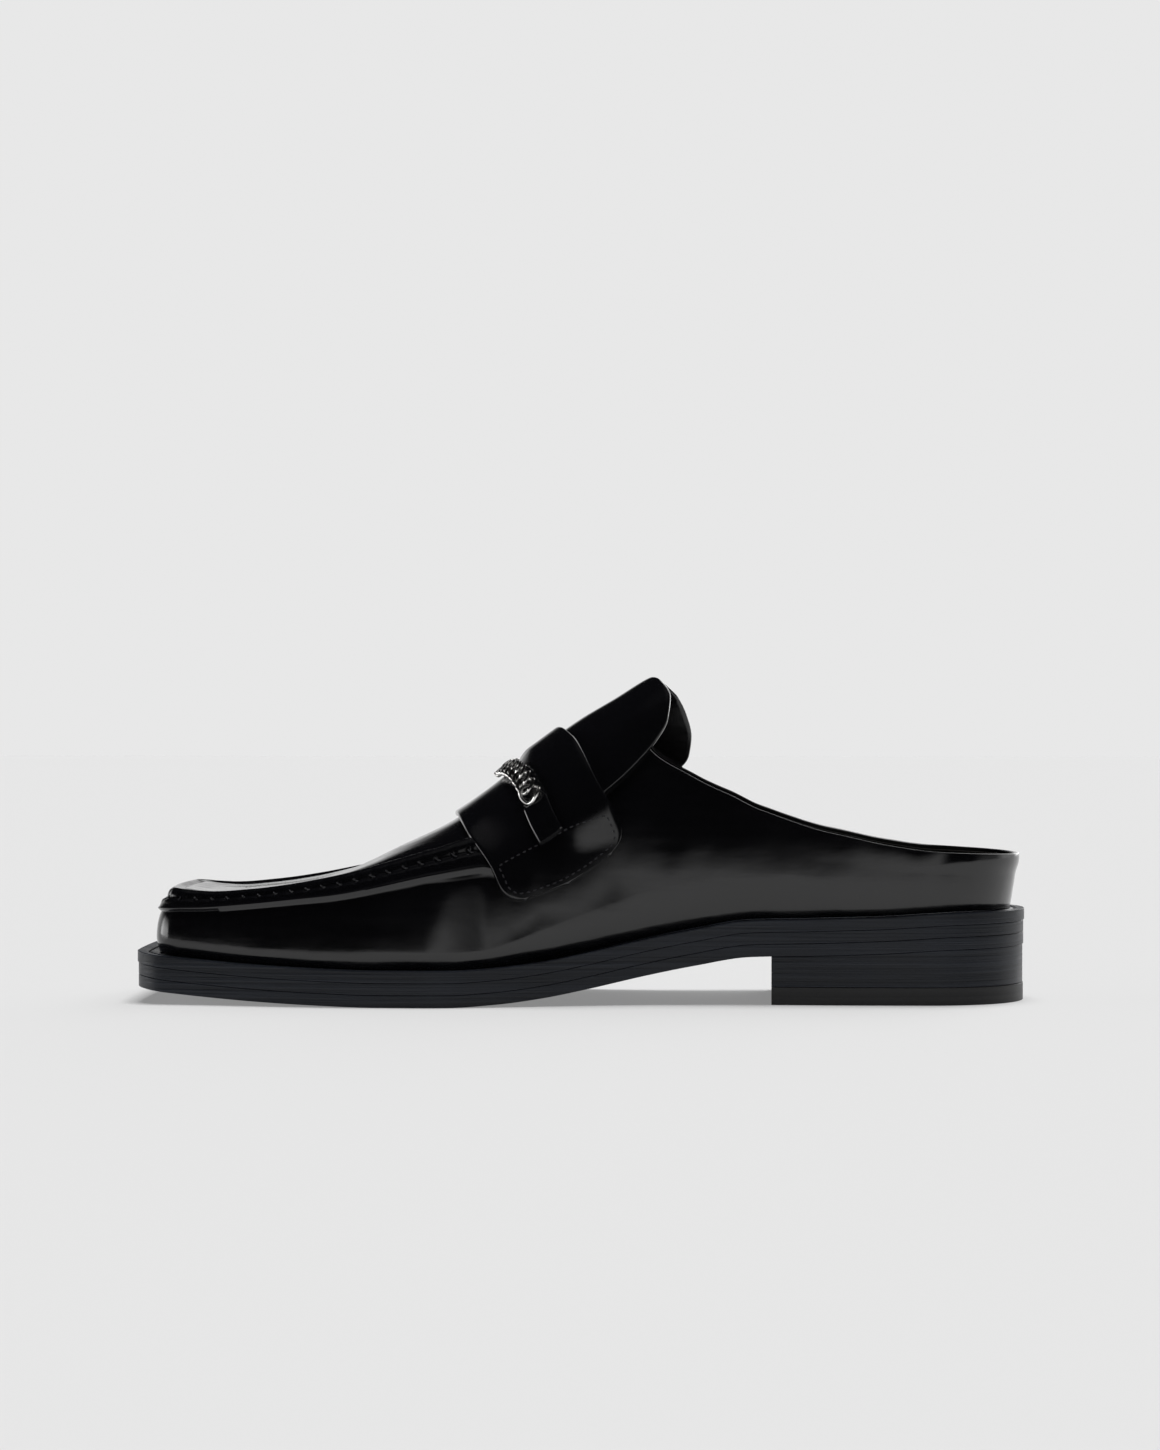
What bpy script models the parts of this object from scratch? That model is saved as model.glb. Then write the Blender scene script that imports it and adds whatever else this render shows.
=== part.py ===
"""Square toe mule, left shoe: a low-cut slip-on with a raised moccasin seam, a saddle strap with a
curb chain, a standing tongue, and a leather sole on a stacked heel. Metres, +Z up, toe at -X,
outer side at -Y, origin on the floor under the middle of the shoe."""

from math import cos, pi, sin

import bmesh
import bpy
from mathutils import Matrix, Vector

for old in list(bpy.data.objects):
    bpy.data.objects.remove(old, do_unlink=True)

# Driving dimensions
LENGTH = 0.300
BALL_WIDTH = 0.105
TOE_CORNER = 0.013
TOE_ROUND = 0.0012
HEEL_ROUND = 0.036
GAP = 0.0003

# Sole and heel
HEEL_SEAT = 0.019
TOE_SPRING = 0.0055
OUTSOLE = 0.0042
MIDSOLE = 0.0040
WELT = 0.0039
WELT_WIDTH = 0.0110
INSOLE = 0.0045
SOLE_EDGE = 0.0006
OUTSOLE_STEP = 0.0003
MIDSOLE_STEP = 0.0006
HEEL_LENGTH = 0.0858
HEEL_STEP = 0.0009
TOP_PIECE = 0.0060
TOP_PIECE_STEP = 0.0004

# Upper, tongue and straps
UPPER_HEIGHT = 0.075
WALL = 0.0022
SEAM_HEIGHT = 0.0021
TONGUE = 0.0021
TONGUE_TUCK = 0.008
STRAP = 0.0019
STRAP_GAP = 0.0005
STRAP_CORNER = 0.0060
CHAIN_STRAP = 0.0017
CHAIN_STRAP_WIDTH = 0.0076

# Chain: sizes as shares of the pitch of its links, twist in radians
LINKS = 13
LINK_LENGTH = 1.50
LINK_WIDTH = 1.475
LINK_WAVE = 0.137
LINK_WIRE = 0.316
LINK_HEIGHT = 0.553
RING_SIZE = 1.684
LINK_TWIST = 0.3

# Half widths of the sole as shares of the ball width, by share of the length from the heel
OUTLINE = (
    # along, outer, inner
    (0.12, 0.322, 0.322),
    (0.20, 0.326, 0.318),
    (0.30, 0.318, 0.298),
    (0.40, 0.330, 0.276),
    (0.50, 0.385, 0.300),
    (0.60, 0.462, 0.388),
    (0.67, 0.500, 0.462),
    (0.74, 0.495, 0.500),
    (0.81, 0.470, 0.486),
    (0.88, 0.432, 0.447),
    (0.95, 0.396, 0.404),
    (1.00, 0.384, 0.390),
)

# Height of the sole's underside: shares of the heel seat and of the toe spring
SPRING = (
    # along, seat, toe
    (0.00, 1.000, 0.00),
    (0.08, 0.980, 0.00),
    (0.16, 0.910, 0.00),
    (0.24, 0.868, 0.00),
    (0.31, 0.840, 0.00),
    (0.37, 0.690, 0.00),
    (0.43, 0.500, 0.00),
    (0.49, 0.290, 0.00),
    (0.54, 0.140, 0.00),
    (0.59, 0.045, 0.00),
    (0.64, 0.000, 0.00),
    (0.72, 0.000, 0.00),
    (0.78, 0.000, 0.08),
    (0.85, 0.000, 0.24),
    (0.91, 0.000, 0.46),
    (0.96, 0.000, 0.71),
    (1.00, 0.000, 1.00),
)

# Sections of the upper: insets from the sole's edge as shares of the ball width, heights over the
# welt as shares of the upper's height
SECTIONS = (
    # along, feather in, wall in, wall up, lip in, lip up, bead in, bead up, crest up, lean
    (0.00, 0.046, 0.038, 0.067, 0.029, 0.147, 0.017, 0.246, 0.80, 0.00),
    (0.10, 0.046, 0.031, 0.090, 0.028, 0.167, 0.032, 0.272, 0.85, 0.00),
    (0.20, 0.050, 0.031, 0.120, 0.030, 0.227, 0.042, 0.366, 0.95, 0.00),
    (0.30, 0.054, 0.032, 0.145, 0.034, 0.293, 0.060, 0.477, 1.10, 0.01),
    (0.35, 0.056, 0.034, 0.147, 0.040, 0.345, 0.086, 0.594, 1.186, 0.02),
    (0.42, 0.058, 0.034, 0.147, 0.042, 0.350, 0.104, 0.657, 1.132, 0.02),
    (0.46, 0.058, 0.035, 0.140, 0.044, 0.330, 0.106, 0.642, 1.071, 0.02),
    (0.50, 0.058, 0.037, 0.130, 0.050, 0.320, 0.112, 0.607, 1.011, 0.02),
    (0.55, 0.060, 0.042, 0.112, 0.070, 0.340, 0.136, 0.572, 0.904, 0.02),
    (0.61, 0.057, 0.048, 0.080, 0.112, 0.430, 0.190, 0.572, 0.740, 0.02),
    (0.66, 0.057, 0.049, 0.080, 0.108, 0.402, 0.184, 0.518, 0.617, 0.015),
    (0.71, 0.057, 0.049, 0.080, 0.095, 0.359, 0.167, 0.459, 0.523, 0.01),
    (0.77, 0.057, 0.050, 0.073, 0.084, 0.307, 0.145, 0.388, 0.408, 0.00),
    (0.82, 0.057, 0.050, 0.067, 0.080, 0.277, 0.140, 0.342, 0.346, 0.00),
    (0.88, 0.058, 0.051, 0.067, 0.078, 0.241, 0.136, 0.303, 0.303, 0.00),
    (0.94, 0.062, 0.054, 0.067, 0.074, 0.207, 0.131, 0.275, 0.270, 0.00),
    (1.00, 0.066, 0.057, 0.067, 0.072, 0.184, 0.124, 0.272, 0.250, 0.00),
)
CREST_SHARE = 0.78
SPINE_END = 0.893

# The raised seam across its width, from the lip over the stitch groove to the inner bead
SEAM = (
    # place, rise
    (1.97, 0.00),
    (2.00, 0.42),
    (2.15, 0.95),
    (2.35, 0.95),
    (2.52, 0.58),
    (2.65, 0.78),
    (2.84, 1.00),
    (2.97, 0.72),
    (3.08, 0.00),
)
SEAM_FADE = (0.600, 0.622)

# Where the collar cuts the sections, from the quarters up to the throat
COLLAR = (
    # along, place
    (0.14, 3.00),
    (0.18, 2.96),
    (0.22, 2.96),
    (0.26, 3.01),
    (0.30, 3.035),
    (0.34, 3.02),
    (0.36, 3.07),
    (0.38, 3.15),
    (0.40, 3.25),
    (0.42, 3.42),
    (0.44, 3.85),
    (0.45, 4.35),
    (0.46, 5.00),
)

# Free edge of the tongue by its place in the section
TONGUE_EDGE = (
    # place, outer along, inner along
    (3.05, 0.500, 0.450),
    (3.15, 0.472, 0.397),
    (3.30, 0.444, 0.384),
    (3.50, 0.418, 0.381),
    (3.70, 0.405, 0.386),
    (4.00, 0.402, 0.397),
    (4.50, 0.411, 0.411),
    (5.00, 0.423, 0.423),
)

# The saddle strap from its middle to its end: front and back edge
STRAP_EDGES = (
    # share, front along, front place, back along, back place
    (0.00, 0.643, 5.00, 0.525, 5.00),
    (0.25, 0.635, 4.00, 0.511, 4.25),
    (0.50, 0.619, 2.90, 0.488, 3.45),
    (0.75, 0.597, 2.08, 0.465, 2.85),
    (1.00, 0.577, 1.62, 0.449, 2.38),
)
TONGUE_LIFT = (0.54, 0.74)
STRAP_RAMP = (2.35, 3.05)
CHAIN_LINE = (0.50, 0.57)
RING_SHARE = 0.465
CHAIN_STRAP_END = 0.62

# Grid lines
SIDE_STATIONS = (0.12, 0.17, 0.22, 0.27, 0.31, 0.35, 0.385, 0.415, 0.435, 0.448, 0.46, 0.49,
                 0.53, 0.57, 0.60, 0.63, 0.67, 0.70, 0.74, 0.77, 0.80, 0.84, 0.88, 0.92)
HEEL_STEPS = 5
CORNER_STEPS = 4
TOE_STEPS = 2
STRAP_STEPS = 10
CHAIN_STEPS = 400
WIRE_STEPS = 14
WIRE_SIDES = 6
WALL_ROWS = (0.0, 0.4, 0.8, 1.2, 1.6)
SEAM_ROWS = (1.97, 2.0, 2.15, 2.35, 2.52, 2.65, 2.84, 2.97, 3.08)
APRON_ROWS = (3.4, 3.8, 4.3, 4.7, 5.0)
INNER_ROWS = (0.0, 0.8, 1.6, 2.0, 2.5, 3.0, 3.4, 3.8, 4.3, 4.7, 5.0)


def read_table(table, column, place):
    """Monotone cubic through one column of a table, by its first column."""
    if place <= table[0][0]:
        return table[0][column]
    if place >= table[-1][0]:
        return table[-1][column]
    index = 0
    while table[index + 1][0] < place:
        index += 1

    def slope(k):
        return (table[k + 1][column] - table[k][column]) / (table[k + 1][0] - table[k][0])

    def tangent(k):
        if k == 0:
            return slope(0)
        if k == len(table) - 1:
            return slope(k - 1)
        before = slope(k - 1)
        after = slope(k)
        if before * after <= 0.0:
            return 0.0
        return 2.0 * before * after / (before + after)

    step = table[index + 1][0] - table[index][0]
    share = (place - table[index][0]) / step
    start = table[index][column]
    end = table[index + 1][column]
    start_slope = tangent(index) * step
    end_slope = tangent(index + 1) * step
    rise = end - start
    cubic = start_slope + end_slope - 2.0 * rise
    square = 3.0 * rise - 2.0 * start_slope - end_slope
    return start + share * (start_slope + share * (square + share * cubic))


def ease(share):
    share = min(1.0, max(0.0, share))
    return share * share * (3.0 - 2.0 * share)


def underside(along):
    seat = read_table(SPRING, 1, along) * HEEL_SEAT
    return seat + read_table(SPRING, 2, along) * TOE_SPRING


def midsole_low(along):
    return underside(along) + OUTSOLE


def welt_low(along):
    return underside(along) + OUTSOLE + MIDSOLE


def sole_top(along):
    return welt_low(along) + WELT


def insole_top(along):
    return welt_low(along) + INSOLE + GAP


def stack_low(along):
    return TOP_PIECE + GAP


def floor(along):
    return 0.0


def half_width(along, side):
    column = 1 if side < 0 else 2
    return read_table(OUTLINE, column, along) * BALL_WIDTH


def plan_point(side, around, inset):
    """Distance from the heel and across, at a place around the outline: 0 to 1 is the heel's
    back, 1 to 2 the side, 2 to 3 the toe corner and 3 to 4 the toe's edge."""
    corner = max(TOE_CORNER - 0.6 * inset, 0.45 * TOE_CORNER)
    corner_start = LENGTH - inset - corner
    if around <= 1.0:
        angle = around * pi / 2.0
        reach = HEEL_ROUND - inset
        back = HEEL_ROUND - reach * abs(cos(angle)) ** 0.94
        across = (half_width(HEEL_ROUND / LENGTH, side) - inset) * abs(sin(angle)) ** 0.94
        return back, side * across
    if around <= 2.0:
        plain = HEEL_ROUND + (around - 1.0) * (LENGTH - TOE_CORNER - HEEL_ROUND)
        late = ease((plain / LENGTH - 0.78) / (1.0 - TOE_CORNER / LENGTH - 0.78))
        back = plain - late * (LENGTH - TOE_CORNER - corner_start)
        return back, side * (half_width(back / LENGTH, side) - inset)
    width = half_width(corner_start / LENGTH, side) - inset
    if around <= 3.0:
        angle = (around - 2.0) * pi / 2.0
        back = corner_start + corner * sin(angle)
        across = width - corner + corner * cos(angle)
    else:
        back = LENGTH - inset
        across = (width - corner) * (4.0 - around)
    return back - TOE_ROUND * (across / width) ** 2 * ease(around - 1.9), side * across


def around_of(along):
    return 1.0 + (along * LENGTH - HEEL_ROUND) / (LENGTH - TOE_CORNER - HEEL_ROUND)


def world(back, across, height):
    return Vector((LENGTH / 2.0 - back, across, height))


def crest_point(back):
    along = back / LENGTH
    height = read_table(SECTIONS, 8, along) * UPPER_HEIGHT + sole_top(along) + GAP
    return world(back, read_table(SECTIONS, 9, along) * BALL_WIDTH, height)


def crest_normal(back):
    step = 0.002
    run = crest_point(back - step) - crest_point(back + step)
    return Vector((-run.z, 0.0, run.x)).normalized()


def controls(side, around):
    """The points that a section of the upper passes: feather, wall, lip, bead, middle, crest."""
    along = plan_point(side, around, 0.0)[0] / LENGTH
    row = [read_table(SECTIONS, column, along) for column in range(1, 10)]
    feather = plan_point(side, around, row[0] * BALL_WIDTH)
    base = sole_top(feather[0] / LENGTH) + GAP
    points = [world(*feather, base)]
    for inset, rise in ((row[1], row[2]), (row[3], row[4]), (row[5], row[6])):
        plan = plan_point(side, around, inset * BALL_WIDTH)
        points.append(world(*plan, base + rise * UPPER_HEIGHT))
    bead = points[-1]
    spine_back = min(LENGTH / 2.0 - bead.x, SPINE_END * LENGTH)
    crest = crest_point(max(spine_back, HEEL_ROUND))
    middle = bead.lerp(crest, 0.5)
    middle.z = bead.z + (crest.z - bead.z) * CREST_SHARE
    points += [middle, crest]
    ghost = crest + (crest - middle)
    ghost.z = middle.z
    return [points[0] * 2.0 - points[1]] + points + [ghost]


def reference(side, around, place):
    """A point of the smooth lasted surface, by a spline through the section's control points."""
    points = controls(side, around)
    index = min(int(place), 4)
    share = place - index
    p0, p1, p2, p3 = points[index:index + 4]
    d0 = (p1 - p0).length ** 0.5
    d1 = (p2 - p1).length ** 0.5
    d2 = (p3 - p2).length ** 0.5
    m1 = (p2 - p1) + d1 * ((p1 - p0) / d0 - (p2 - p0) / (d0 + d1))
    m2 = (p2 - p1) + d1 * ((p3 - p2) / d2 - (p3 - p1) / (d1 + d2))
    cubic = m1 + m2 - 2.0 * (p2 - p1)
    square = 3.0 * (p2 - p1) - 2.0 * m1 - m2
    return p1 + share * (m1 + share * (square + share * cubic))


def outward(side, around, place):
    step = 0.01
    low = max(around - step, 0.0)
    high = min(around + step, 4.0)
    low_place = max(place - step, 0.0)
    high_place = min(place + step, 5.0)
    along = reference(side, high, place) - reference(side, low, place)
    up = reference(side, around, high_place) - reference(side, around, low_place)
    normal = along.cross(up) * side
    if around < 0.02 or around > 3.98:
        normal.y = 0.0
    return normal.normalized()


def seam_rise(around, place):
    along = 0.0
    if around > 1.0:
        along = (HEEL_ROUND + (around - 1.0) * (LENGTH - TOE_CORNER - HEEL_ROUND)) / LENGTH
    fade = ease((along - SEAM_FADE[0]) / (SEAM_FADE[1] - SEAM_FADE[0]))
    if place <= SEAM[0][0] or place >= SEAM[-1][0]:
        return 0.0
    return fade * SEAM_HEIGHT * read_table(SEAM, 1, place)


def surface(side, around, place, offset):
    """A point over the lasted surface and its raised seam, on either side of the crest."""
    if place > 5.0:
        side = -side
        place = 10.0 - place
    rise = seam_rise(around, place) if offset >= 0.0 else 0.0
    point = reference(side, around, place)
    if place >= 5.0:
        normal = crest_normal(LENGTH / 2.0 - point.x)
    else:
        normal = outward(side, around, place)
    return point + normal * (rise + offset)


def collar_place(along):
    return read_table(COLLAR, 1, along)


def columns():
    """Places around the outline, from the heel's back over the outer side to the toe's middle."""
    places = [step / HEEL_STEPS for step in range(HEEL_STEPS)]
    places += [around_of(along) for along in SIDE_STATIONS]
    places += [2.0 + step / CORNER_STEPS for step in range(CORNER_STEPS)]
    places += [3.0 + step / TOE_STEPS for step in range(TOE_STEPS)]
    return places


def loop_places():
    """Side and place of every column once around the shoe."""
    half = columns()
    loop = [(-1, place) for place in half]
    loop.append((-1, 4.0))
    loop += [(1, place) for place in reversed(half[1:])]
    return loop


def make_object(name, mesh, material, parts):
    obj = bpy.data.objects.new(name, mesh)
    obj.data.materials.append(material)
    parts.objects.link(obj)
    return obj


def finish(name, form, material, parts, smooth=True):
    bmesh.ops.remove_doubles(form, verts=form.verts, dist=0.00001)
    bmesh.ops.recalc_face_normals(form, faces=form.faces)
    if form.calc_volume(signed=True) < 0.0:
        bmesh.ops.reverse_faces(form, faces=form.faces)
    mesh = bpy.data.meshes.new(name)
    form.to_mesh(mesh)
    form.free()
    if smooth:
        mesh.shade_smooth()
        mesh.set_sharp_from_angle(angle=0.7)
    return make_object(name, mesh, material, parts)


def add_face(form, corners):
    unique = []
    for corner in corners:
        if corner not in unique:
            unique.append(corner)
    if len(unique) > 2:
        form.faces.new(unique)


def bridge(form, first, second, closed=True):
    count = len(first)
    for index in range(count if closed else count - 1):
        after = (index + 1) % count
        add_face(form, (first[index], first[after], second[after], second[index]))


def close_across(form, ring):
    """Fills a ring with strips that run straight across the shoe."""
    count = len(ring)
    for index in range(count // 2):
        low = (count - index) % count
        add_face(form, (ring[index], ring[index + 1], ring[count - index - 1], ring[low]))


def sole_ring(form, inset, height, heel_only):
    """A ring of points on the sole's outline, at a height that follows the place along it."""
    half = columns()
    if heel_only:
        breast = around_of(HEEL_LENGTH / LENGTH)
        half = [place for place in half if place < breast - 0.01] + [breast]
        places = [(-1, place) for place in half] + [(1, place) for place in reversed(half[1:])]
    else:
        places = loop_places()
    ring = []
    for side, around in places:
        back, across = plan_point(side, around, inset)
        ring.append(form.verts.new(world(back, across, height(back / LENGTH))))
    return ring


def make_plate(name, inset, low, next_low, material, parts, heel_only=False):
    """A layer of the sole with softened edges, up to a small gap under the layer above."""
    form = bmesh.new()

    def high(along):
        return next_low(along) - GAP

    rings = [
        sole_ring(form, inset + SOLE_EDGE, low, heel_only),
        sole_ring(form, inset, lambda along: low(along) + SOLE_EDGE, heel_only),
        sole_ring(form, inset, lambda along: high(along) - SOLE_EDGE, heel_only),
        sole_ring(form, inset + SOLE_EDGE, high, heel_only),
    ]
    for below, above in zip(rings, rings[1:]):
        bridge(form, below, above)
    close_across(form, rings[0])
    close_across(form, rings[-1])
    return finish(name, form, material, parts)


def make_welt(low, high, material, parts):
    form = bmesh.new()
    rings = [
        sole_ring(form, WELT_WIDTH, low, False),
        sole_ring(form, SOLE_EDGE, low, False),
        sole_ring(form, 0.0, lambda along: low(along) + SOLE_EDGE, False),
        sole_ring(form, 0.0, lambda along: high(along) - SOLE_EDGE, False),
        sole_ring(form, SOLE_EDGE, high, False),
        sole_ring(form, WELT_WIDTH, high, False),
    ]
    for index, ring in enumerate(rings):
        bridge(form, ring, rings[(index + 1) % len(rings)])
    return finish("welt", form, material, parts)


def make_shell(name, outer, inner, material, parts, closed=False):
    """A solid between two grids of points of the same size, with a rim all round."""
    form = bmesh.new()
    sheets = []
    for grid in (outer, inner):
        sheets.append([[form.verts.new(point) for point in line] for line in grid])
    for sheet in sheets:
        for first, second in zip(sheet, sheet[1:]):
            bridge(form, first, second, closed)
    top, below = sheets
    bridge(form, top[0], below[0], closed)
    bridge(form, top[-1], below[-1], closed)
    if not closed:
        for end in (0, -1):
            bridge(form, [line[end] for line in top], [line[end] for line in below], False)
    return finish(name, form, material, parts)


def upper_rows(rows, along):
    limit = collar_place(along)
    return [row if row <= 2.0 else 2.0 + (row - 2.0) * (limit - 2.0) / 3.0 for row in rows]


def make_upper(material, parts):
    """One hollow lasted form: two skins joined at the feather below and at the collar above."""
    form = bmesh.new()
    outer_rows = WALL_ROWS + SEAM_ROWS + APRON_ROWS
    throat = max(row[0] for row in COLLAR)
    skins = []
    for rows, offset in ((outer_rows, 0.0), (INNER_ROWS, -WALL)):
        lines = []
        for side, around in loop_places():
            along = plan_point(side, around, 0.0)[0] / LENGTH
            places = upper_rows(rows, along)
            lines.append([form.verts.new(surface(side, around, place, offset)) for place in places])
        skins.append(lines)
        for index, line in enumerate(lines):
            bridge(form, line, lines[(index + 1) % len(lines)], False)
    outer, inner = skins
    bridge(form, [line[0] for line in outer], [line[0] for line in inner])
    open_columns = []
    for index, (side, around) in enumerate(loop_places()):
        if plan_point(side, around, 0.0)[0] / LENGTH <= throat + 0.0001:
            open_columns.append(index)
    split = next(k for k, index in enumerate(open_columns) if index != k)
    run = open_columns[split:] + open_columns[:split]
    bridge(form, [outer[k][-1] for k in run], [inner[k][-1] for k in run], False)
    return finish("upper", form, material, parts)


def make_tongue(material, parts):
    """A flap on the line of the instep, from under the saddle strap to its own free edge."""
    places = [row[0] for row in TONGUE_EDGE] + [4.25, 4.75]
    places = sorted(set(places + [3.1, 3.4, 3.85]))
    mirrored = [10.0 - place for place in reversed(places[:-1])]
    outer = []
    inner = []
    for place in places + mirrored:
        near = place <= 5.0
        folded = place if near else 10.0 - place
        edge = read_table(TONGUE_EDGE, 1 if near else 2, folded)
        root = strap_back(folded) + TONGUE_TUCK / LENGTH
        outer_line = []
        inner_line = []
        for share in (0.0, 0.12, 0.3, 0.5, 0.7, 0.88, 1.0):
            around = around_of(root + (edge - root) * share)
            skive = 0.55 + 0.45 * ease(share * 4.0)
            outer_line.append(surface(-1, around, place, GAP + TONGUE * skive))
            inner_line.append(surface(-1, around, place, GAP))
        outer.append(outer_line)
        inner.append(inner_line)
    return make_shell("tongue", outer, inner, material, parts)


def strap_back(place):
    """Share along the shoe of the strap's back edge at a place of the section."""
    rows = sorted((row[4], row[3]) for row in STRAP_EDGES)
    return read_table(rows, 1, place)


def strap_place(share, width):
    """Along and place on the strap, by its shares from middle to end and from front to back."""
    share = abs(share)
    front = [read_table(STRAP_EDGES, column, share) for column in (1, 2)]
    back = [read_table(STRAP_EDGES, column, share) for column in (3, 4)]
    along = front[0] + (back[0] - front[0]) * width
    place = front[1] + (back[1] - front[1]) * width
    return along, place


def strap_surface(share, width, offset):
    """A point over the upper at a place of the saddle strap, clear of the tongue under it."""
    along, place = strap_place(share, width)
    over_tongue = ease((width - TONGUE_LIFT[0]) / (TONGUE_LIFT[1] - TONGUE_LIFT[0]))
    over_tongue *= ease((place - STRAP_RAMP[0]) / (STRAP_RAMP[1] - STRAP_RAMP[0]))
    lift = STRAP_GAP + over_tongue * (TONGUE + GAP)
    if share > 0.0:
        place = 10.0 - place
    return surface(-1, around_of(along), place, lift + offset)


def strap_half_length():
    steps = 24
    points = [strap_surface(step / steps, 0.5, STRAP) for step in range(steps + 1)]
    return sum((b - a).length for a, b in zip(points, points[1:]))


def strap_width():
    return (strap_surface(-0.8, 0.0, STRAP) - strap_surface(-0.8, 1.0, STRAP)).length


def make_saddle_strap(material, parts):
    """A wide strap over the instep whose ends are cut square with rounded corners."""
    length = strap_half_length()
    width = strap_width()
    round_share = STRAP_CORNER / length
    shares = [0.07 * step for step in range(12)]
    shares += [1.0 - round_share * (1.0 - sin(step * pi / 10.0)) for step in range(6)]
    shares = [-share for share in reversed(shares[1:])] + shares
    outer = []
    inner = []
    for share in shares:
        depth = min(1.0, max(0.0, abs(share) - 1.0 + round_share) / round_share)
        cut = (1.0 - (1.0 - depth * depth) ** 0.5) * STRAP_CORNER / width
        lines = ([], [])
        for step in range(STRAP_STEPS + 1):
            across = cut + (1.0 - 2.0 * cut) * step / STRAP_STEPS
            lines[0].append(strap_surface(share, across, STRAP))
            lines[1].append(strap_surface(share, across, 0.0))
        outer.append(lines[0])
        inner.append(lines[1])
    return make_shell("saddle_strap", outer, inner, material, parts)


def chain_line(share):
    """Where the chain and its straps run on the saddle strap, from its front to its back."""
    return CHAIN_LINE[0] + (CHAIN_LINE[1] - CHAIN_LINE[0]) * ease(abs(share) / RING_SHARE)


def chain_frame(share, height):
    """Place, direction along the chain, direction across and normal on the saddle strap."""
    step = 0.02
    line = chain_line(share)
    place = strap_surface(share, line, STRAP)
    after = strap_surface(share + step, chain_line(share + step), STRAP)
    along = after - strap_surface(share - step, chain_line(share - step), STRAP)
    across = strap_surface(share, line + step, STRAP) - strap_surface(share, line - step, STRAP)
    normal = along.cross(across).normalized()
    if normal.z < 0.0:
        normal = -normal
    along.normalize()
    across = normal.cross(along).normalized()
    return place + normal * height, along, across, normal


def make_chain_strap(name, sign, material, parts):
    """A narrow strap from the ring down to the stitching across the saddle strap's end."""
    outer = []
    inner = []
    width = CHAIN_STRAP_WIDTH / strap_width()
    base = STRAP + 1.5 * GAP
    for step in range(8):
        share = RING_SHARE + (CHAIN_STRAP_END - RING_SHARE) * step / 7.0
        outer_line = []
        inner_line = []
        for part in (-0.5, -0.42, 0.0, 0.42, 0.5):
            across = chain_line(share) + part * width
            thick = CHAIN_STRAP * (0.7 if abs(part) == 0.5 else 1.0)
            inner_line.append(strap_surface(sign * share, across, base))
            outer_line.append(strap_surface(sign * share, across, base + thick))
        outer.append(outer_line)
        inner.append(inner_line)
    return make_shell(name, outer, inner, material, parts)


def link_curve(length, width, wave, count):
    """The centre line of a curb link: an oval that waves and twists about the chain."""
    points = []
    for step in range(count):
        angle = 2.0 * pi * step / count
        along = length / 2.0 * cos(angle)
        across = width / 2.0 * sin(angle)
        rise = wave * sin(2.0 * angle)
        turn = LINK_TWIST * cos(angle)
        points.append(Vector((along, across * cos(turn) - rise * sin(turn),
                              across * sin(turn) + rise * cos(turn))))
    return points


def make_link(name, centre, wire, matrix, material, parts):
    """A closed round wire swept along the link's centre line."""
    form = bmesh.new()
    count = len(centre)
    rings = []
    for index, point in enumerate(centre):
        direction = (centre[(index + 1) % count] - centre[index - 1]).normalized()
        outside = (point - direction * point.dot(direction)).normalized()
        beside = direction.cross(outside)
        ring = []
        for side in range(WIRE_SIDES):
            angle = 2.0 * pi * side / WIRE_SIDES
            spoke = outside * cos(angle) + beside * sin(angle)
            ring.append(form.verts.new(matrix @ (point + spoke * wire / 2.0)))
        rings.append(ring)
    for index in range(count):
        bridge(form, rings[index], rings[(index + 1) % count])
    return finish(name, form, material, parts)


def frame_matrix(place, along, across, normal):
    axes = (along, across, normal)
    rows = [[axis[k] for axis in axes] + [place[k]] for k in range(3)]
    return Matrix(rows + [[0.0, 0.0, 0.0, 1.0]])


def chain_run(height):
    """Shares along the saddle strap from ring to ring, and the length of the chain to each."""
    shares = [-RING_SHARE + 2.0 * RING_SHARE * step / CHAIN_STEPS for step in range(CHAIN_STEPS + 1)]
    points = [chain_frame(share, height)[0] for share in shares]
    lengths = [0.0]
    for first, second in zip(points, points[1:]):
        lengths.append(lengths[-1] + (second - first).length)
    return shares, lengths


def make_chain(material, parts):
    """Rings at both ends and links at an even pitch between them, over the crest."""
    pitch = LENGTH / 80.0
    for _ in range(2):
        shares, lengths = chain_run(LINK_HEIGHT * pitch)
        pitch = (lengths[-1] - 2.0 * GAP) / (LINKS + 1 + 2.0 * RING_SIZE + LINK_WIRE - LINK_LENGTH)
    reach = (RING_SIZE + LINK_WIRE) / 2.0 * pitch + GAP
    first = reach + pitch * (1.0 + (RING_SIZE - LINK_LENGTH) / 2.0)
    stops = {f"chain_link_{number + 1:02d}": first + number * pitch for number in range(LINKS)}
    stops["ring_near"] = reach
    stops["ring_far"] = lengths[-1] - reach
    link = link_curve(LINK_LENGTH * pitch, LINK_WIDTH * pitch, LINK_WAVE * pitch, WIRE_STEPS)
    ring = link_curve(RING_SIZE * pitch, RING_SIZE * pitch, LINK_WAVE * pitch, WIRE_STEPS)
    for name, stop in stops.items():
        index = max(k for k, length in enumerate(lengths) if length <= stop)
        matrix = frame_matrix(*chain_frame(shares[index], LINK_HEIGHT * pitch))
        centre = link if name.startswith("chain") else ring
        make_link(name, centre, LINK_WIRE * pitch, matrix, material, parts)


def make_material(name, colour, roughness, metallic=0.0):
    material = bpy.data.materials.new(name)
    material.use_nodes = True
    shader = material.node_tree.nodes["Principled BSDF"]
    shader.inputs["Base Color"].default_value = (*colour, 1.0)
    shader.inputs["Roughness"].default_value = roughness
    shader.inputs["Metallic"].default_value = metallic
    return material


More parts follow.
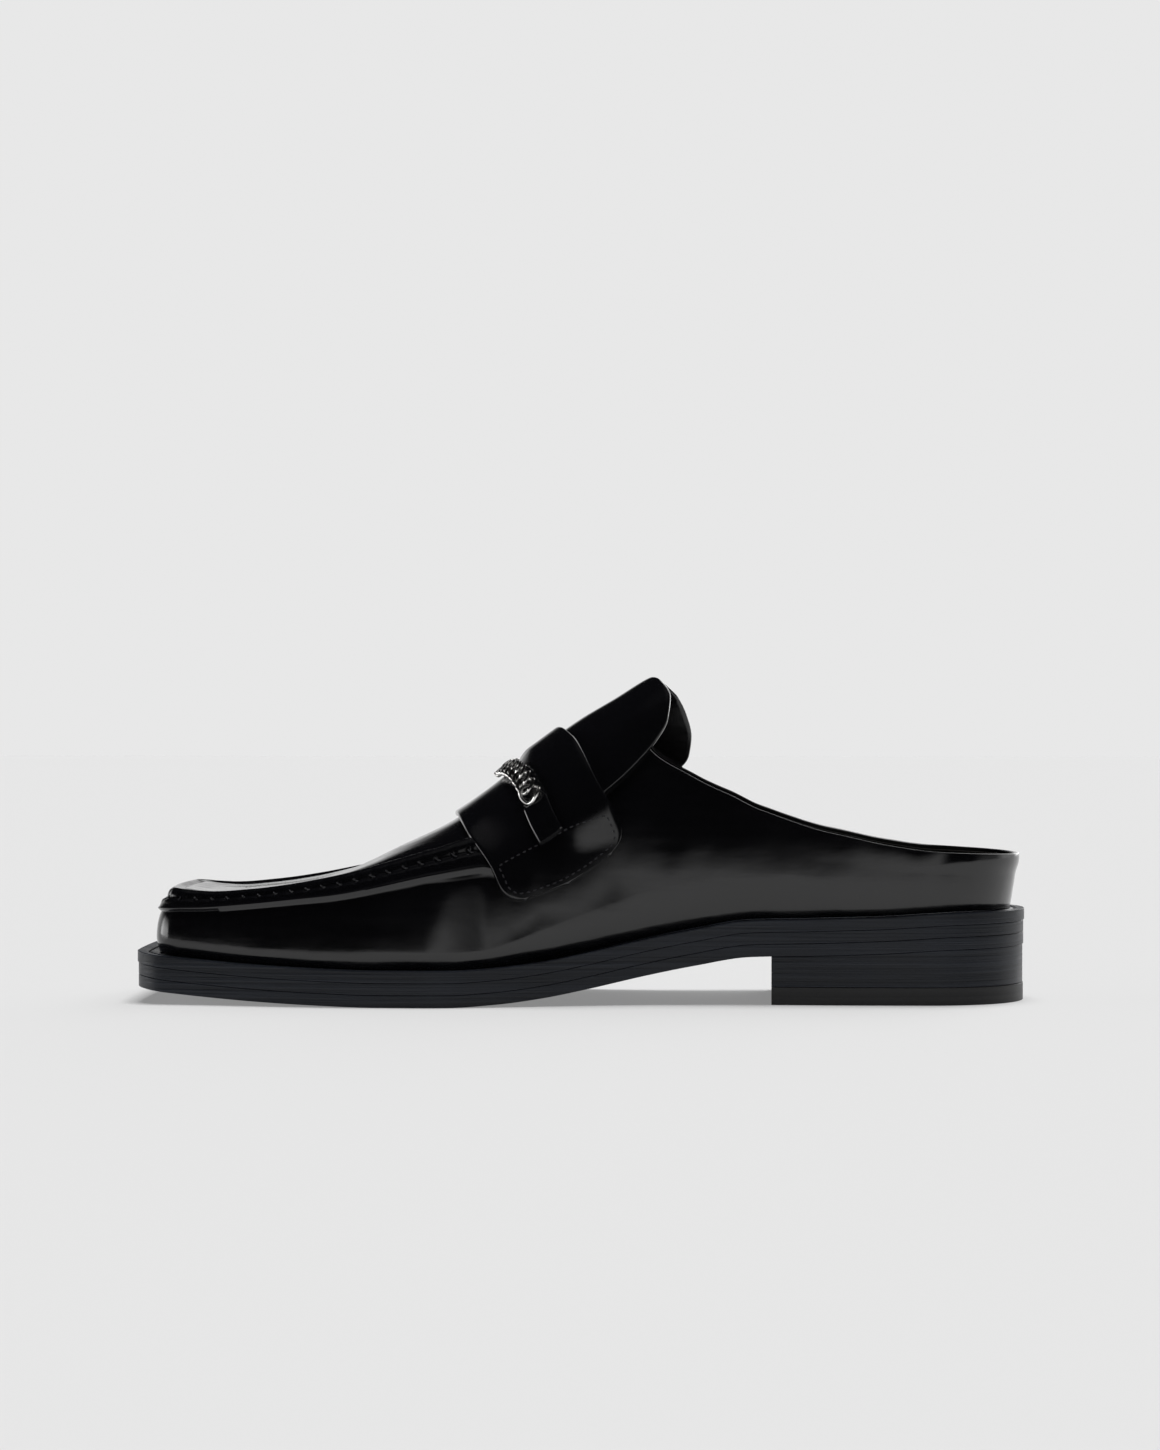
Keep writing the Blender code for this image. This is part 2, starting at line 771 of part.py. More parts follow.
def main():
    parts = bpy.data.collections.new("square_toe_mule")
    bpy.context.scene.collection.children.link(parts)
    upper_leather = make_material("upper_leather", (0.012, 0.012, 0.014), 0.12)
    sole_leather = make_material("sole_leather", (0.018, 0.019, 0.023), 0.35)
    heel_rubber = make_material("heel_rubber", (0.015, 0.015, 0.016), 0.6)
    lining = make_material("lining", (0.035, 0.033, 0.032), 0.55)
    chain_metal = make_material("chain_metal", (0.62, 0.62, 0.63), 0.18, 1.0)

    make_plate("outsole", OUTSOLE_STEP, underside, midsole_low, sole_leather, parts)
    make_plate("midsole", MIDSOLE_STEP, midsole_low, welt_low, sole_leather, parts)
    make_welt(welt_low, sole_top, sole_leather, parts)
    make_plate("insole", WELT_WIDTH + GAP, welt_low, insole_top, lining, parts)
    make_plate("heel_stack", HEEL_STEP, stack_low, underside, sole_leather, parts, heel_only=True)
    make_plate("top_piece", TOP_PIECE_STEP, floor, stack_low, heel_rubber, parts, heel_only=True)
    make_upper(upper_leather, parts)
    make_tongue(upper_leather, parts)
    make_saddle_strap(upper_leather, parts)
    make_chain_strap("chain_strap_near", -1, upper_leather, parts)
    make_chain_strap("chain_strap_far", 1, upper_leather, parts)
    make_chain(chain_metal, parts)


main()
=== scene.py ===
"""A square toe mule in polished black leather, standing on a pale floor: the left shoe of a pair,
seen from its outer side. Metres, toe at -X, outer side at -Y, +Z up."""

from bisect import bisect_right
from functools import lru_cache
from math import atan, cos, pi, sin

import bmesh
import bpy
from mathutils import Matrix, Vector
from mathutils.kdtree import KDTree


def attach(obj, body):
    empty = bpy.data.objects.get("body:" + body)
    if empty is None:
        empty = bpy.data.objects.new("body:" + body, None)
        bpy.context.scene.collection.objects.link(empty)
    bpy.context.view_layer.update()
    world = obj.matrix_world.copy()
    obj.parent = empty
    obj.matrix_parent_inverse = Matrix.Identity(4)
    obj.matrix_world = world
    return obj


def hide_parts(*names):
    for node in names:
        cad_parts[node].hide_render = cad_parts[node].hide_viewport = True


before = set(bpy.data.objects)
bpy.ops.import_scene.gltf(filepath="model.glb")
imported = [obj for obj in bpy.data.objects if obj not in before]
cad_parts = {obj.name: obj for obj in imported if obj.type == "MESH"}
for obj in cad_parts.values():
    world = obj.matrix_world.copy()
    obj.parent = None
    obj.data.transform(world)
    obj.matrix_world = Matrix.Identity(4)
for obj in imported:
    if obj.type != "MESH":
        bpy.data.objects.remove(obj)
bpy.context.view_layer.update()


# The camera stands as the photographer's did, just above the tongue and a little towards the heel
# of the shoe's outer side, with a long lens.
PHOTO_HEIGHT = 1450
FOCAL_PIXELS = 3946
HORIZON_PIXEL = 675.4
CAMERA_PLACE = (0.070, -1.35, 0.110)
CAMERA_TURN = atan(0.0715 / 1.35)

camera_data = bpy.data.cameras.new("camera")
camera_data.sensor_width = 36.0
camera_data.lens = FOCAL_PIXELS / PHOTO_HEIGHT * camera_data.sensor_width
camera = bpy.data.objects.new("camera", camera_data)
camera.location = CAMERA_PLACE
look_down = atan((PHOTO_HEIGHT / 2.0 - HORIZON_PIXEL) / FOCAL_PIXELS)
camera.rotation_euler = (pi / 2.0 - look_down, 0.0, CAMERA_TURN)
bpy.context.scene.collection.objects.link(camera)
bpy.context.scene.camera = camera
bpy.context.scene.view_settings.view_transform = "Standard"


class Shade:
    """A value or colour in a material's nodes, which sums and products can be written with."""

    def __init__(self, finish, socket):
        self.finish = finish
        self.socket = socket

    def combine(self, operation, first, second):
        return self.finish.node("ShaderNodeMath", {"operation": operation}, {0: first, 1: second})

    def __add__(self, other):
        return self.combine("ADD", self, other)

    def __sub__(self, other):
        return self.combine("SUBTRACT", self, other)

    def __rsub__(self, other):
        return self.combine("SUBTRACT", other, self)

    def __mul__(self, other):
        return self.combine("MULTIPLY", self, other)


class Finish:
    """The nodes of one material, or of the world, and the shader they feed."""

    def __init__(self, owner):
        self.owner = owner
        owner.use_nodes = True
        self.tree = owner.node_tree
        self.tree.nodes.clear()

    def node(self, kind, settings=None, inputs=None, output=0):
        """Adds a node, sets it up, joins its inputs and gives one of its outputs."""
        made = self.tree.nodes.new(kind)
        for name, value in (settings or {}).items():
            if name == "stops":
                ramp = made.color_ramp
                while len(ramp.elements) < len(value):
                    ramp.elements.new(0.5)
                for element, (place, grey) in zip(ramp.elements, value):
                    element.position = place
                    element.color = (grey, grey, grey, 1.0)
            else:
                setattr(made, name, value)
        for name, value in (inputs or {}).items():
            if isinstance(value, Shade):
                self.tree.links.new(value.socket, made.inputs[name])
            else:
                made.inputs[name].default_value = value
        return Shade(self, made.outputs[output])

    def noise(self, scale, detail=2.0, stretch=(1.0, 1.0, 1.0), turn=(0.0, 0.0, 0.0)):
        """Cloudy noise on the object's own coordinates, stretched and turned."""
        place = self.node("ShaderNodeTexCoord", output=3)
        place = self.node("ShaderNodeMapping", None, {0: place, 2: turn, 3: stretch})
        return self.node("ShaderNodeTexNoise", None, {"Vector": place, "Scale": scale, "Detail": detail})

    def ramp(self, shade, *stops):
        return self.node("ShaderNodeValToRGB", {"stops": stops}, {0: shade})

    def blend(self, share, first, second):
        """From the first colour to the second by a share."""
        colours = {0: share, 6: (*first, 1.0), 7: (*second, 1.0)}
        return self.node("ShaderNodeMix", {"data_type": "RGBA"}, colours, output=2)

    def bump(self, height, distance, under=None):
        inputs = {"Height": height, "Distance": distance, "Strength": 1.0}
        if under:
            inputs["Normal"] = under
        return self.node("ShaderNodeBump", None, inputs)

    def end(self, kind, inputs):
        """Closes the nodes with a shader on the material's or the world's output."""
        shader = self.node(kind, None, inputs)
        output = "ShaderNodeOutputMaterial"
        if isinstance(self.owner, bpy.types.World):
            output = "ShaderNodeOutputWorld"
        self.tree.links.new(shader.socket, self.tree.nodes.new(output).inputs["Surface"])
        return self.owner


# A pale floor and soft studio light: a low pale wall behind the shoe, cards over its heel, before its
# quarter and overhead, a bright screen past its toe, and a broad lamp that only the floor shows.
PALE = 0.806
FLOOR_GLOW = 0.24
FLOOR_SHADE = 0.50
FLOOR_FRONT = -1.05
FLOOR_BACK = 4.0
FLOOR_SIDE = 3.0
LAMP_POWER = 2.86
LAMP_SPREAD = 0.6
LAMP_TURN = (-0.12, 0.1, 0.0)
HEEL_CARD_GLOW = 2.4
TOE_SCREEN_GLOW = 4.2
FRONT_CARD_SLOPE = 1.1
ROOM_GLOW = 0.004

floor_form = bmesh.new()
bmesh.ops.create_grid(floor_form, x_segments=1, y_segments=1, size=1.0)
for vert in floor_form.verts:
    vert.co.x *= FLOOR_SIDE
    vert.co.y = FLOOR_FRONT if vert.co.y < 0.0 else FLOOR_BACK
floor_mesh = bpy.data.meshes.new("floor")
floor_form.to_mesh(floor_mesh)
floor_form.free()
floor = bpy.data.objects.new("floor", floor_mesh)
bpy.context.scene.collection.objects.link(floor)
floor_finish = Finish(bpy.data.materials.new("floor"))
floor_mesh.materials.append(floor_finish.end("ShaderNodeBsdfPrincipled", {
    "Base Color": (FLOOR_SHADE, FLOOR_SHADE, FLOOR_SHADE, 1.0),
    "Roughness": 0.9,
    "Specular IOR Level": 0.0,
    "Emission Color": (1.0, 1.0, 1.0, 1.0),
    "Emission Strength": FLOOR_GLOW,
}))

lamp_data = bpy.data.lights.new("top_lamp", "SUN")
lamp_data.energy = LAMP_POWER
lamp_data.angle = LAMP_SPREAD
lamp = bpy.data.objects.new("top_lamp", lamp_data)
lamp.rotation_euler = LAMP_TURN
lamp.visible_glossy = False
bpy.context.scene.collection.objects.link(lamp)

world = bpy.data.worlds.new("studio")
bpy.context.scene.world = world
studio = Finish(world)
direction = studio.node("ShaderNodeTexCoord", output=0)
back = studio.node("ShaderNodeSeparateXYZ", None, {0: direction}, output=1)
across = studio.node("ShaderNodeSeparateXYZ", None, {0: direction}, output=0)
height = studio.node("ShaderNodeSeparateXYZ", None, {0: direction}, output=2)
from_front = back * 0.5 + 0.5
wall_top = studio.ramp(height, (0.12, 1.0), (0.34, 0.0))
behind = studio.ramp(from_front, (0.52, 0.0), (0.62, 1.0))
heel_side = studio.ramp(across, (0.80, 0.0), (0.93, 0.3))
heel_card = studio.ramp(across, (0.04, 0.0), (0.16, 1.0)) * studio.ramp(height, (0.78, 1.0), (0.90, 0.0))
heel_card = heel_card * studio.ramp(from_front, (0.60, 0.0), (0.72, 1.0)) * HEEL_CARD_GLOW
heel_card = heel_card * studio.ramp(across, (0.52, 1.0), (0.66, 0.0))
front_card = studio.ramp(back * -1.0, (0.30, 0.0), (0.55, 1.0))
front_card = front_card * studio.ramp(across, (0.27, 1.0), (0.42, 0.0))
front_card_top = height - across * FRONT_CARD_SLOPE + 0.5
front_card = front_card * studio.ramp(front_card_top, (0.48, 0.9), (0.74, 0.0))
top_card = studio.ramp(height, (0.90, 0.0), (1.0, 0.10))
toe_screen = studio.ramp(across * -1.0, (0.90, 0.0), (0.94, 1.0)) * TOE_SCREEN_GLOW
toe_screen = toe_screen * studio.ramp(height, (0.35, 1.0), (0.42, 0.0))
cards = heel_card + front_card + top_card
glow = ((behind + heel_side + toe_screen) * wall_top + cards) * PALE + ROOM_GLOW
seen = studio.node("ShaderNodeLightPath", output=0)
glow = glow * (1.0 - seen) + seen * PALE
grey = studio.node("ShaderNodeCombineColor", None, {0: glow, 1: glow, 2: glow})
studio.end("ShaderNodeBackground", {"Color": grey})


# The last: the form that the shoe is pulled over, and the line of the sole round it. Lengths are
# shares of the shoe's length, the width at the ball and the height of the upper.
LENGTH = 0.300
BALL_WIDTH = 0.105
TOE_CORNER = 0.013
TOE_ROUND = 0.0012
HEEL_ROUND = 0.036
GAP = 0.0003
HEEL_SEAT = 0.019
TOE_SPRING = 0.0055
OUTSOLE = 0.0042
MIDSOLE = 0.0040
WELT = 0.0039
UPPER_HEIGHT = 0.075
HEEL_SQUARE = 0.94
CORNER_EASE = 0.78
TOE_PLACE = 4.0
CREST_PLACE = 5.0

# Half widths of the sole as shares of the ball width, by share of the length from the heel
OUTLINE = (
    # along, outer, inner
    (0.12, 0.322, 0.322),
    (0.20, 0.326, 0.318),
    (0.30, 0.318, 0.298),
    (0.40, 0.330, 0.276),
    (0.50, 0.385, 0.300),
    (0.60, 0.462, 0.388),
    (0.67, 0.500, 0.462),
    (0.74, 0.495, 0.500),
    (0.81, 0.470, 0.486),
    (0.88, 0.432, 0.447),
    (0.95, 0.396, 0.404),
    (1.00, 0.384, 0.390),
)

# Height of the sole's underside: shares of the heel seat and of the toe spring
SPRING = (
    # along, seat, toe
    (0.00, 1.000, 0.00),
    (0.08, 0.980, 0.00),
    (0.16, 0.910, 0.00),
    (0.24, 0.868, 0.00),
    (0.31, 0.840, 0.00),
    (0.37, 0.690, 0.00),
    (0.43, 0.500, 0.00),
    (0.49, 0.290, 0.00),
    (0.54, 0.140, 0.00),
    (0.59, 0.045, 0.00),
    (0.64, 0.000, 0.00),
    (0.72, 0.000, 0.00),
    (0.78, 0.000, 0.08),
    (0.85, 0.000, 0.24),
    (0.91, 0.000, 0.46),
    (0.96, 0.000, 0.71),
    (1.00, 0.000, 1.00),
)

# Sections of the upper: insets from the sole's edge as shares of the ball width, heights over the
# welt as shares of the upper's height
SECTIONS = (
    # along, feather in, wall in, wall up, lip in, lip up, bead in, bead up, crest up, lean
    (0.00, 0.046, 0.038, 0.067, 0.029, 0.147, 0.017, 0.246, 0.80, 0.00),
    (0.10, 0.046, 0.031, 0.090, 0.028, 0.167, 0.032, 0.272, 0.85, 0.00),
    (0.20, 0.050, 0.031, 0.120, 0.030, 0.227, 0.042, 0.366, 0.95, 0.00),
    (0.30, 0.054, 0.032, 0.145, 0.034, 0.293, 0.060, 0.477, 1.10, 0.01),
    (0.35, 0.056, 0.034, 0.147, 0.040, 0.345, 0.086, 0.594, 1.186, 0.02),
    (0.42, 0.058, 0.034, 0.147, 0.042, 0.350, 0.104, 0.657, 1.132, 0.02),
    (0.46, 0.058, 0.035, 0.140, 0.044, 0.330, 0.106, 0.642, 1.071, 0.02),
    (0.50, 0.058, 0.037, 0.130, 0.050, 0.320, 0.112, 0.607, 1.011, 0.02),
    (0.55, 0.060, 0.042, 0.112, 0.070, 0.340, 0.136, 0.572, 0.904, 0.02),
    (0.61, 0.057, 0.048, 0.080, 0.112, 0.430, 0.190, 0.572, 0.740, 0.02),
    (0.66, 0.057, 0.049, 0.080, 0.108, 0.402, 0.184, 0.518, 0.617, 0.015),
    (0.71, 0.057, 0.049, 0.080, 0.095, 0.359, 0.167, 0.459, 0.523, 0.01),
    (0.77, 0.057, 0.050, 0.073, 0.084, 0.307, 0.145, 0.388, 0.408, 0.00),
    (0.82, 0.057, 0.050, 0.067, 0.080, 0.277, 0.140, 0.342, 0.346, 0.00),
    (0.88, 0.058, 0.051, 0.067, 0.078, 0.241, 0.136, 0.303, 0.303, 0.00),
    (0.94, 0.062, 0.054, 0.067, 0.074, 0.207, 0.131, 0.275, 0.270, 0.00),
    (1.00, 0.066, 0.057, 0.067, 0.072, 0.184, 0.124, 0.272, 0.250, 0.00),
)
CREST_SHARE = 0.78
SPINE_END = 0.893

# The raised seam across its width, from the lip over the stitch groove to the inner bead
SEAM = (
    # place, rise
    (1.985, 0.00),
    (1.995, 0.62),
    (2.01, 0.80),
    (2.10, 0.66),
    (2.20, 0.70),
    (2.32, 0.84),
    (2.42, 0.68),
    (2.50, 0.46),
    (2.56, 0.62),
    (2.63, 0.84),
    (2.74, 1.00),
    (2.86, 0.98),
    (2.95, 0.72),
    (3.00, 0.42),
    (3.06, 0.00),
)
SEAM_FADE = (0.575, 0.592)
SEAM_HEIGHT = 0.0021
SEAM_MIDDLE = 2.50
STITCH_PITCH = 0.0056
PINCH_DEPTH = 0.22
PINCH_REACH = 0.30


def read_table(table, column, place):
    """Monotone cubic through one column of a table, by its first column."""
    if place <= table[0][0]:
        return table[0][column]
    if place >= table[-1][0]:
        return table[-1][column]
    index = 0
    while table[index + 1][0] < place:
        index += 1

    def slope(k):
        return (table[k + 1][column] - table[k][column]) / (table[k + 1][0] - table[k][0])

    def tangent(k):
        if k == 0:
            return slope(0)
        if k == len(table) - 1:
            return slope(k - 1)
        before = slope(k - 1)
        after = slope(k)
        if before * after <= 0.0:
            return 0.0
        return 2.0 * before * after / (before + after)

    step = table[index + 1][0] - table[index][0]
    share = (place - table[index][0]) / step
    start = table[index][column]
    end = table[index + 1][column]
    start_slope = tangent(index) * step
    end_slope = tangent(index + 1) * step
    rise = end - start
    cubic = start_slope + end_slope - 2.0 * rise
    square = 3.0 * rise - 2.0 * start_slope - end_slope
    return start + share * (start_slope + share * (square + share * cubic))


def ease(share):
    share = min(1.0, max(0.0, share))
    return share * share * (3.0 - 2.0 * share)


def underside(along):
    seat = read_table(SPRING, 1, along) * HEEL_SEAT
    return seat + read_table(SPRING, 2, along) * TOE_SPRING


def midsole_low(along):
    return underside(along) + OUTSOLE


def welt_low(along):
    return underside(along) + OUTSOLE + MIDSOLE


def sole_top(along):
    return welt_low(along) + WELT


def half_width(along, side):
    column = 1 if side < 0 else 2
    return read_table(OUTLINE, column, along) * BALL_WIDTH


def plan_point(side, around, inset):
    """Distance from the heel and across, at a place around the outline: 0 to 1 is the heel's
    back, 1 to 2 the side, 2 to 3 the toe corner and 3 to 4 the toe's edge."""
    corner = max(TOE_CORNER - 0.6 * inset, 0.45 * TOE_CORNER)
    corner_start = LENGTH - inset - corner
    if around <= 1.0:
        angle = around * pi / 2.0
        reach = HEEL_ROUND - inset
        back = HEEL_ROUND - reach * abs(cos(angle)) ** HEEL_SQUARE
        across = (half_width(HEEL_ROUND / LENGTH, side) - inset) * abs(sin(angle)) ** HEEL_SQUARE
        return back, side * across
    if around <= 2.0:
        plain = HEEL_ROUND + (around - 1.0) * (LENGTH - TOE_CORNER - HEEL_ROUND)
        late = ease((plain / LENGTH - CORNER_EASE) / (1.0 - TOE_CORNER / LENGTH - CORNER_EASE))
        back = plain - late * (LENGTH - TOE_CORNER - corner_start)
        return back, side * (half_width(back / LENGTH, side) - inset)
    width = half_width(corner_start / LENGTH, side) - inset
    if around <= 3.0:
        angle = (around - 2.0) * pi / 2.0
        back = corner_start + corner * sin(angle)
        across = width - corner + corner * cos(angle)
    else:
        back = LENGTH - inset
        across = (width - corner) * (TOE_PLACE - around)
    return back - TOE_ROUND * (across / width) ** 2 * ease(around - 1.9), side * across


def around_of(along):
    return 1.0 + (along * LENGTH - HEEL_ROUND) / (LENGTH - TOE_CORNER - HEEL_ROUND)


def spot(back, across, height):
    return Vector((LENGTH / 2.0 - back, across, height))


def crest_point(back):
    along = back / LENGTH
    height = read_table(SECTIONS, 8, along) * UPPER_HEIGHT + sole_top(along) + GAP
    return spot(back, read_table(SECTIONS, 9, along) * BALL_WIDTH, height)


def crest_normal(back):
    step = 0.002
    run = crest_point(back - step) - crest_point(back + step)
    return Vector((-run.z, 0.0, run.x)).normalized()


@lru_cache(maxsize=None)
def controls(side, around):
    """The points that a section of the upper passes: feather, wall, lip, bead, middle, crest."""
    along = plan_point(side, around, 0.0)[0] / LENGTH
    row = [read_table(SECTIONS, column, along) for column in range(1, 10)]
    feather = plan_point(side, around, row[0] * BALL_WIDTH)
    base = sole_top(feather[0] / LENGTH) + GAP
    points = [spot(*feather, base)]
    for inset, rise in ((row[1], row[2]), (row[3], row[4]), (row[5], row[6])):
        plan = plan_point(side, around, inset * BALL_WIDTH)
        points.append(spot(*plan, base + rise * UPPER_HEIGHT))
    bead = points[-1]
    spine_back = min(LENGTH / 2.0 - bead.x, SPINE_END * LENGTH)
    crest = crest_point(max(spine_back, HEEL_ROUND))
    middle = bead.lerp(crest, 0.5)
    middle.z = bead.z + (crest.z - bead.z) * CREST_SHARE
    points += [middle, crest]
    ghost = crest + (crest - middle)
    ghost.z = middle.z
    return [points[0] * 2.0 - points[1]] + points + [ghost]


def reference(side, around, place):
    """A point of the smooth lasted surface, by a spline through the section's control points."""
    points = controls(side, around)
    index = min(int(place), 4)
    share = place - index
    p0, p1, p2, p3 = points[index:index + 4]
    d0 = (p1 - p0).length ** 0.5
    d1 = (p2 - p1).length ** 0.5
    d2 = (p3 - p2).length ** 0.5
    m1 = (p2 - p1) + d1 * ((p1 - p0) / d0 - (p2 - p0) / (d0 + d1))
    m2 = (p2 - p1) + d1 * ((p3 - p2) / d2 - (p3 - p1) / (d1 + d2))
    cubic = m1 + m2 - 2.0 * (p2 - p1)
    square = 3.0 * (p2 - p1) - 2.0 * m1 - m2
    return p1 + share * (m1 + share * (square + share * cubic))


def outward(side, around, place):
    step = 0.01
    low = max(around - step, 0.0)
    high = min(around + step, TOE_PLACE)
    low_place = max(place - step, 0.0)
    high_place = min(place + step, CREST_PLACE)
    along = reference(side, high, place) - reference(side, low, place)
    up = reference(side, around, high_place) - reference(side, around, low_place)
    normal = along.cross(up) * side
    if around < 2.0 * step or around > TOE_PLACE - 2.0 * step:
        normal.y = 0.0
    return normal.normalized()


@lru_cache(maxsize=None)
def seam_reach(side, around):
    """Length of the seam from the middle of the toe to a place on the outline."""
    reach = 0.0
    place = TOE_PLACE
    before = reference(side, place, SEAM_MIDDLE)
    while place > around + 0.0001:
        place = max(around, place - 0.02)
        after = reference(side, place, SEAM_MIDDLE)
        reach += (after - before).length
        before = after
    return reach


def pinch(side, around):
    """How far the stitch pulls the seam in at a place along it: 1 at each stitch, 0 between."""
    wave = 0.5 + 0.5 * cos(2.0 * pi * seam_reach(side, around) / STITCH_PITCH)
    return wave ** 5


def seam_rise(side, around, place):
    if place <= SEAM[0][0] or place >= SEAM[-1][0] or around < 1.0:
        return 0.0
    along = (HEEL_ROUND + (around - 1.0) * (LENGTH - TOE_CORNER - HEEL_ROUND)) / LENGTH
    fade = ease((along - SEAM_FADE[0]) / (SEAM_FADE[1] - SEAM_FADE[0]))
    if fade == 0.0:
        return 0.0
    near = max(0.0, 1.0 - abs(place - SEAM_MIDDLE) / PINCH_REACH)
    return fade * SEAM_HEIGHT * (read_table(SEAM, 1, place) - PINCH_DEPTH * pinch(side, around) * near)


def surface(side, around, place, offset, seam=True):
    """A point over the lasted surface and its raised seam, on either side of the crest."""
    if place > CREST_PLACE:
        side = -side
        place = 2.0 * CREST_PLACE - place
    rise = seam_rise(side, around, place) if seam else 0.0
    point = reference(side, around, place)
    if place >= CREST_PLACE:
        normal = crest_normal(LENGTH / 2.0 - point.x)
    else:
        normal = outward(side, around, place)
    return point + normal * (rise + offset)


# Outsole, midsole and heel: stacked vegetable leather, trimmed to one outline, painted black on the
# edge and burnished, so that fine lines run along it. The top piece under the heel is hard rubber.
INSOLE = 0.0045
WELT_WIDTH = 0.0110
HEEL_LENGTH = 0.0858
TOP_PIECE = 0.0060
EDGE_ROUND = 0.00022
SOLE_GAP = 0.00004
SIDE_PIECES = 150
HEEL_PIECES = 26
CORNER_PIECES = 12
TOE_PIECES = 10
FLAT_PIECES = 4
MERGE = 0.000005
CRISP = 0.3
SOFT = 1.2


def outline_places(limit=TOE_PLACE):
    """Places around the sole's outline, close enough for a smooth curve, up to a limit."""
    places = [step / HEEL_PIECES for step in range(HEEL_PIECES)]
    places += [1.0 + step / SIDE_PIECES for step in range(SIDE_PIECES)]
    places += [2.0 + step / CORNER_PIECES for step in range(CORNER_PIECES)]
    places += [3.0 + step / TOE_PIECES for step in range(TOE_PIECES)]
    return [place for place in places if place < limit - 0.002] + [limit]


def lay_grid(form, long_steps, cross_steps, lay):
    """A grid whose points are laid by a function of their two steps."""
    made = bmesh.ops.create_grid(form, x_segments=long_steps, y_segments=cross_steps, size=0.5)
    for vert in made["verts"]:
        step = round((vert.co.x + 0.5) * long_steps)
        row = round((vert.co.y + 0.5) * cross_steps)
        vert.co = lay(step, row)


def show(form, name, material, slot, *nodes, sharp=0.6):
    """Makes the piece from its form, on the shoe's body, in place of the frame's nodes."""
    mesh = bpy.data.meshes.new(name)
    form.to_mesh(mesh)
    form.free()
    mesh.shade_smooth()
    mesh.set_sharp_from_angle(angle=sharp)
    mesh.materials.append(material)
    piece = bpy.data.objects.new(name, mesh)
    bpy.context.scene.collection.objects.link(piece)
    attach(piece, "root")
    if nodes:
        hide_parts(*nodes)


def merge(form):
    bmesh.ops.remove_doubles(form, verts=form.verts, dist=MERGE)
    bmesh.ops.dissolve_degenerate(form, edges=form.edges, dist=0.000001)
    bmesh.ops.recalc_face_normals(form, faces=form.faces)
    if form.calc_volume(signed=True) < 0.0:
        bmesh.ops.reverse_faces(form, faces=form.faces)


def edge_profile(inset):
    """Depths and rises of a layer's rounded edge, in rows from its lower face to its upper one."""
    return ((inset + EDGE_ROUND, 0.0), (inset + 0.3 * EDGE_ROUND, 0.3), (inset, 1.0),
            (inset, -1.0), (inset + 0.3 * EDGE_ROUND, -0.3), (inset + EDGE_ROUND, 0.0))


def sole_layer(inset, low, high, limit=TOE_PLACE):
    """A layer of the sole between two heights, its upper and lower edges rounded."""
    places = outline_places(limit)
    form = bmesh.new()
    profile = edge_profile(inset)
    for side in (-1, 1):
        def lay(step, row):
            depth, rise = profile[row]
            back, across = plan_point(side, places[step], depth)
            base = low(back / LENGTH) if row < 3 else high(back / LENGTH)
            return spot(back, across, base + rise * EDGE_ROUND)
        lay_grid(form, len(places) - 1, len(profile) - 1, lay)
    for depth, level in ((profile[0][0], low), (profile[-1][0], high)):
        def across_layer(step, row):
            back, reach = plan_point(-1, places[step], depth)
            far = plan_point(1, places[step], depth)[1]
            return spot(back, reach + (far - reach) * row / FLAT_PIECES, level(back / LENGTH))
        lay_grid(form, len(places) - 1, FLAT_PIECES, across_layer)
    if limit < TOE_PLACE:
        back = plan_point(-1, limit, inset)[0]

        def breast(step, row):
            depth, rise = profile[row]
            reach = plan_point(-1, limit, depth)[1]
            far = plan_point(1, limit, depth)[1]
            base = low(back / LENGTH) if row < 3 else high(back / LENGTH)
            return spot(back, reach + (far - reach) * step / FLAT_PIECES, base + rise * EDGE_ROUND)
        lay_grid(form, FLAT_PIECES, len(profile) - 1, breast)
    merge(form)
    return form


def edge_finish(name, colour, rough, line_depth, line_scale=900.0):
    """Painted and burnished sole edge: dark, satin, with fine lines along it."""
    finish = Finish(bpy.data.materials.new(name))
    lines = finish.noise(line_scale, 3.0, (0.012, 0.012, 1.0))
    cloud = finish.noise(55.0, 3.0)
    pores = finish.noise(2400.0, 1.0, (0.4, 0.4, 1.0))
    worn = tuple(2.6 * part for part in colour)
    shade = finish.ramp(lines * 0.7 + cloud * 0.3, (0.36, 0.0), (0.68, 1.0))
    return finish.end("ShaderNodeBsdfPrincipled", {
        "Base Color": finish.blend(shade, colour, worn),
        "Roughness": finish.ramp(cloud, (0.3, rough - 0.06), (0.7, rough + 0.08)),
        "Specular IOR Level": 0.27,
        "Normal": finish.bump(pores, 0.00002, finish.bump(lines, line_depth)),
    })


sole_edge = edge_finish("sole_leather", (0.0090, 0.0105, 0.0140), 0.36, 0.00018)
rubber = edge_finish("heel_rubber", (0.0135, 0.0135, 0.0140), 0.46, 0.00003, 500.0)
breast_place = around_of(HEEL_LENGTH / LENGTH)
outsole = sole_layer(0.0003, underside, lambda along: midsole_low(along) - SOLE_GAP)
show(outsole, "outsole", sole_edge, "sole_leather", "outsole", sharp=CRISP)
midsole = sole_layer(0.0003, midsole_low, lambda along: welt_low(along) - SOLE_GAP)
show(midsole, "midsole", sole_edge, "sole_leather", "midsole", sharp=CRISP)
heel_stack = sole_layer(0.0006, lambda along: TOP_PIECE + SOLE_GAP,
                        lambda along: underside(along) - SOLE_GAP, breast_place)
show(heel_stack, "heel_stack", sole_edge, "sole_leather", "heel_stack", sharp=CRISP)
top_piece = sole_layer(0.0004, lambda along: 0.0, lambda along: TOP_PIECE, breast_place)
show(top_piece, "top_piece", rubber, "heel_rubber", "top_piece", sharp=CRISP)


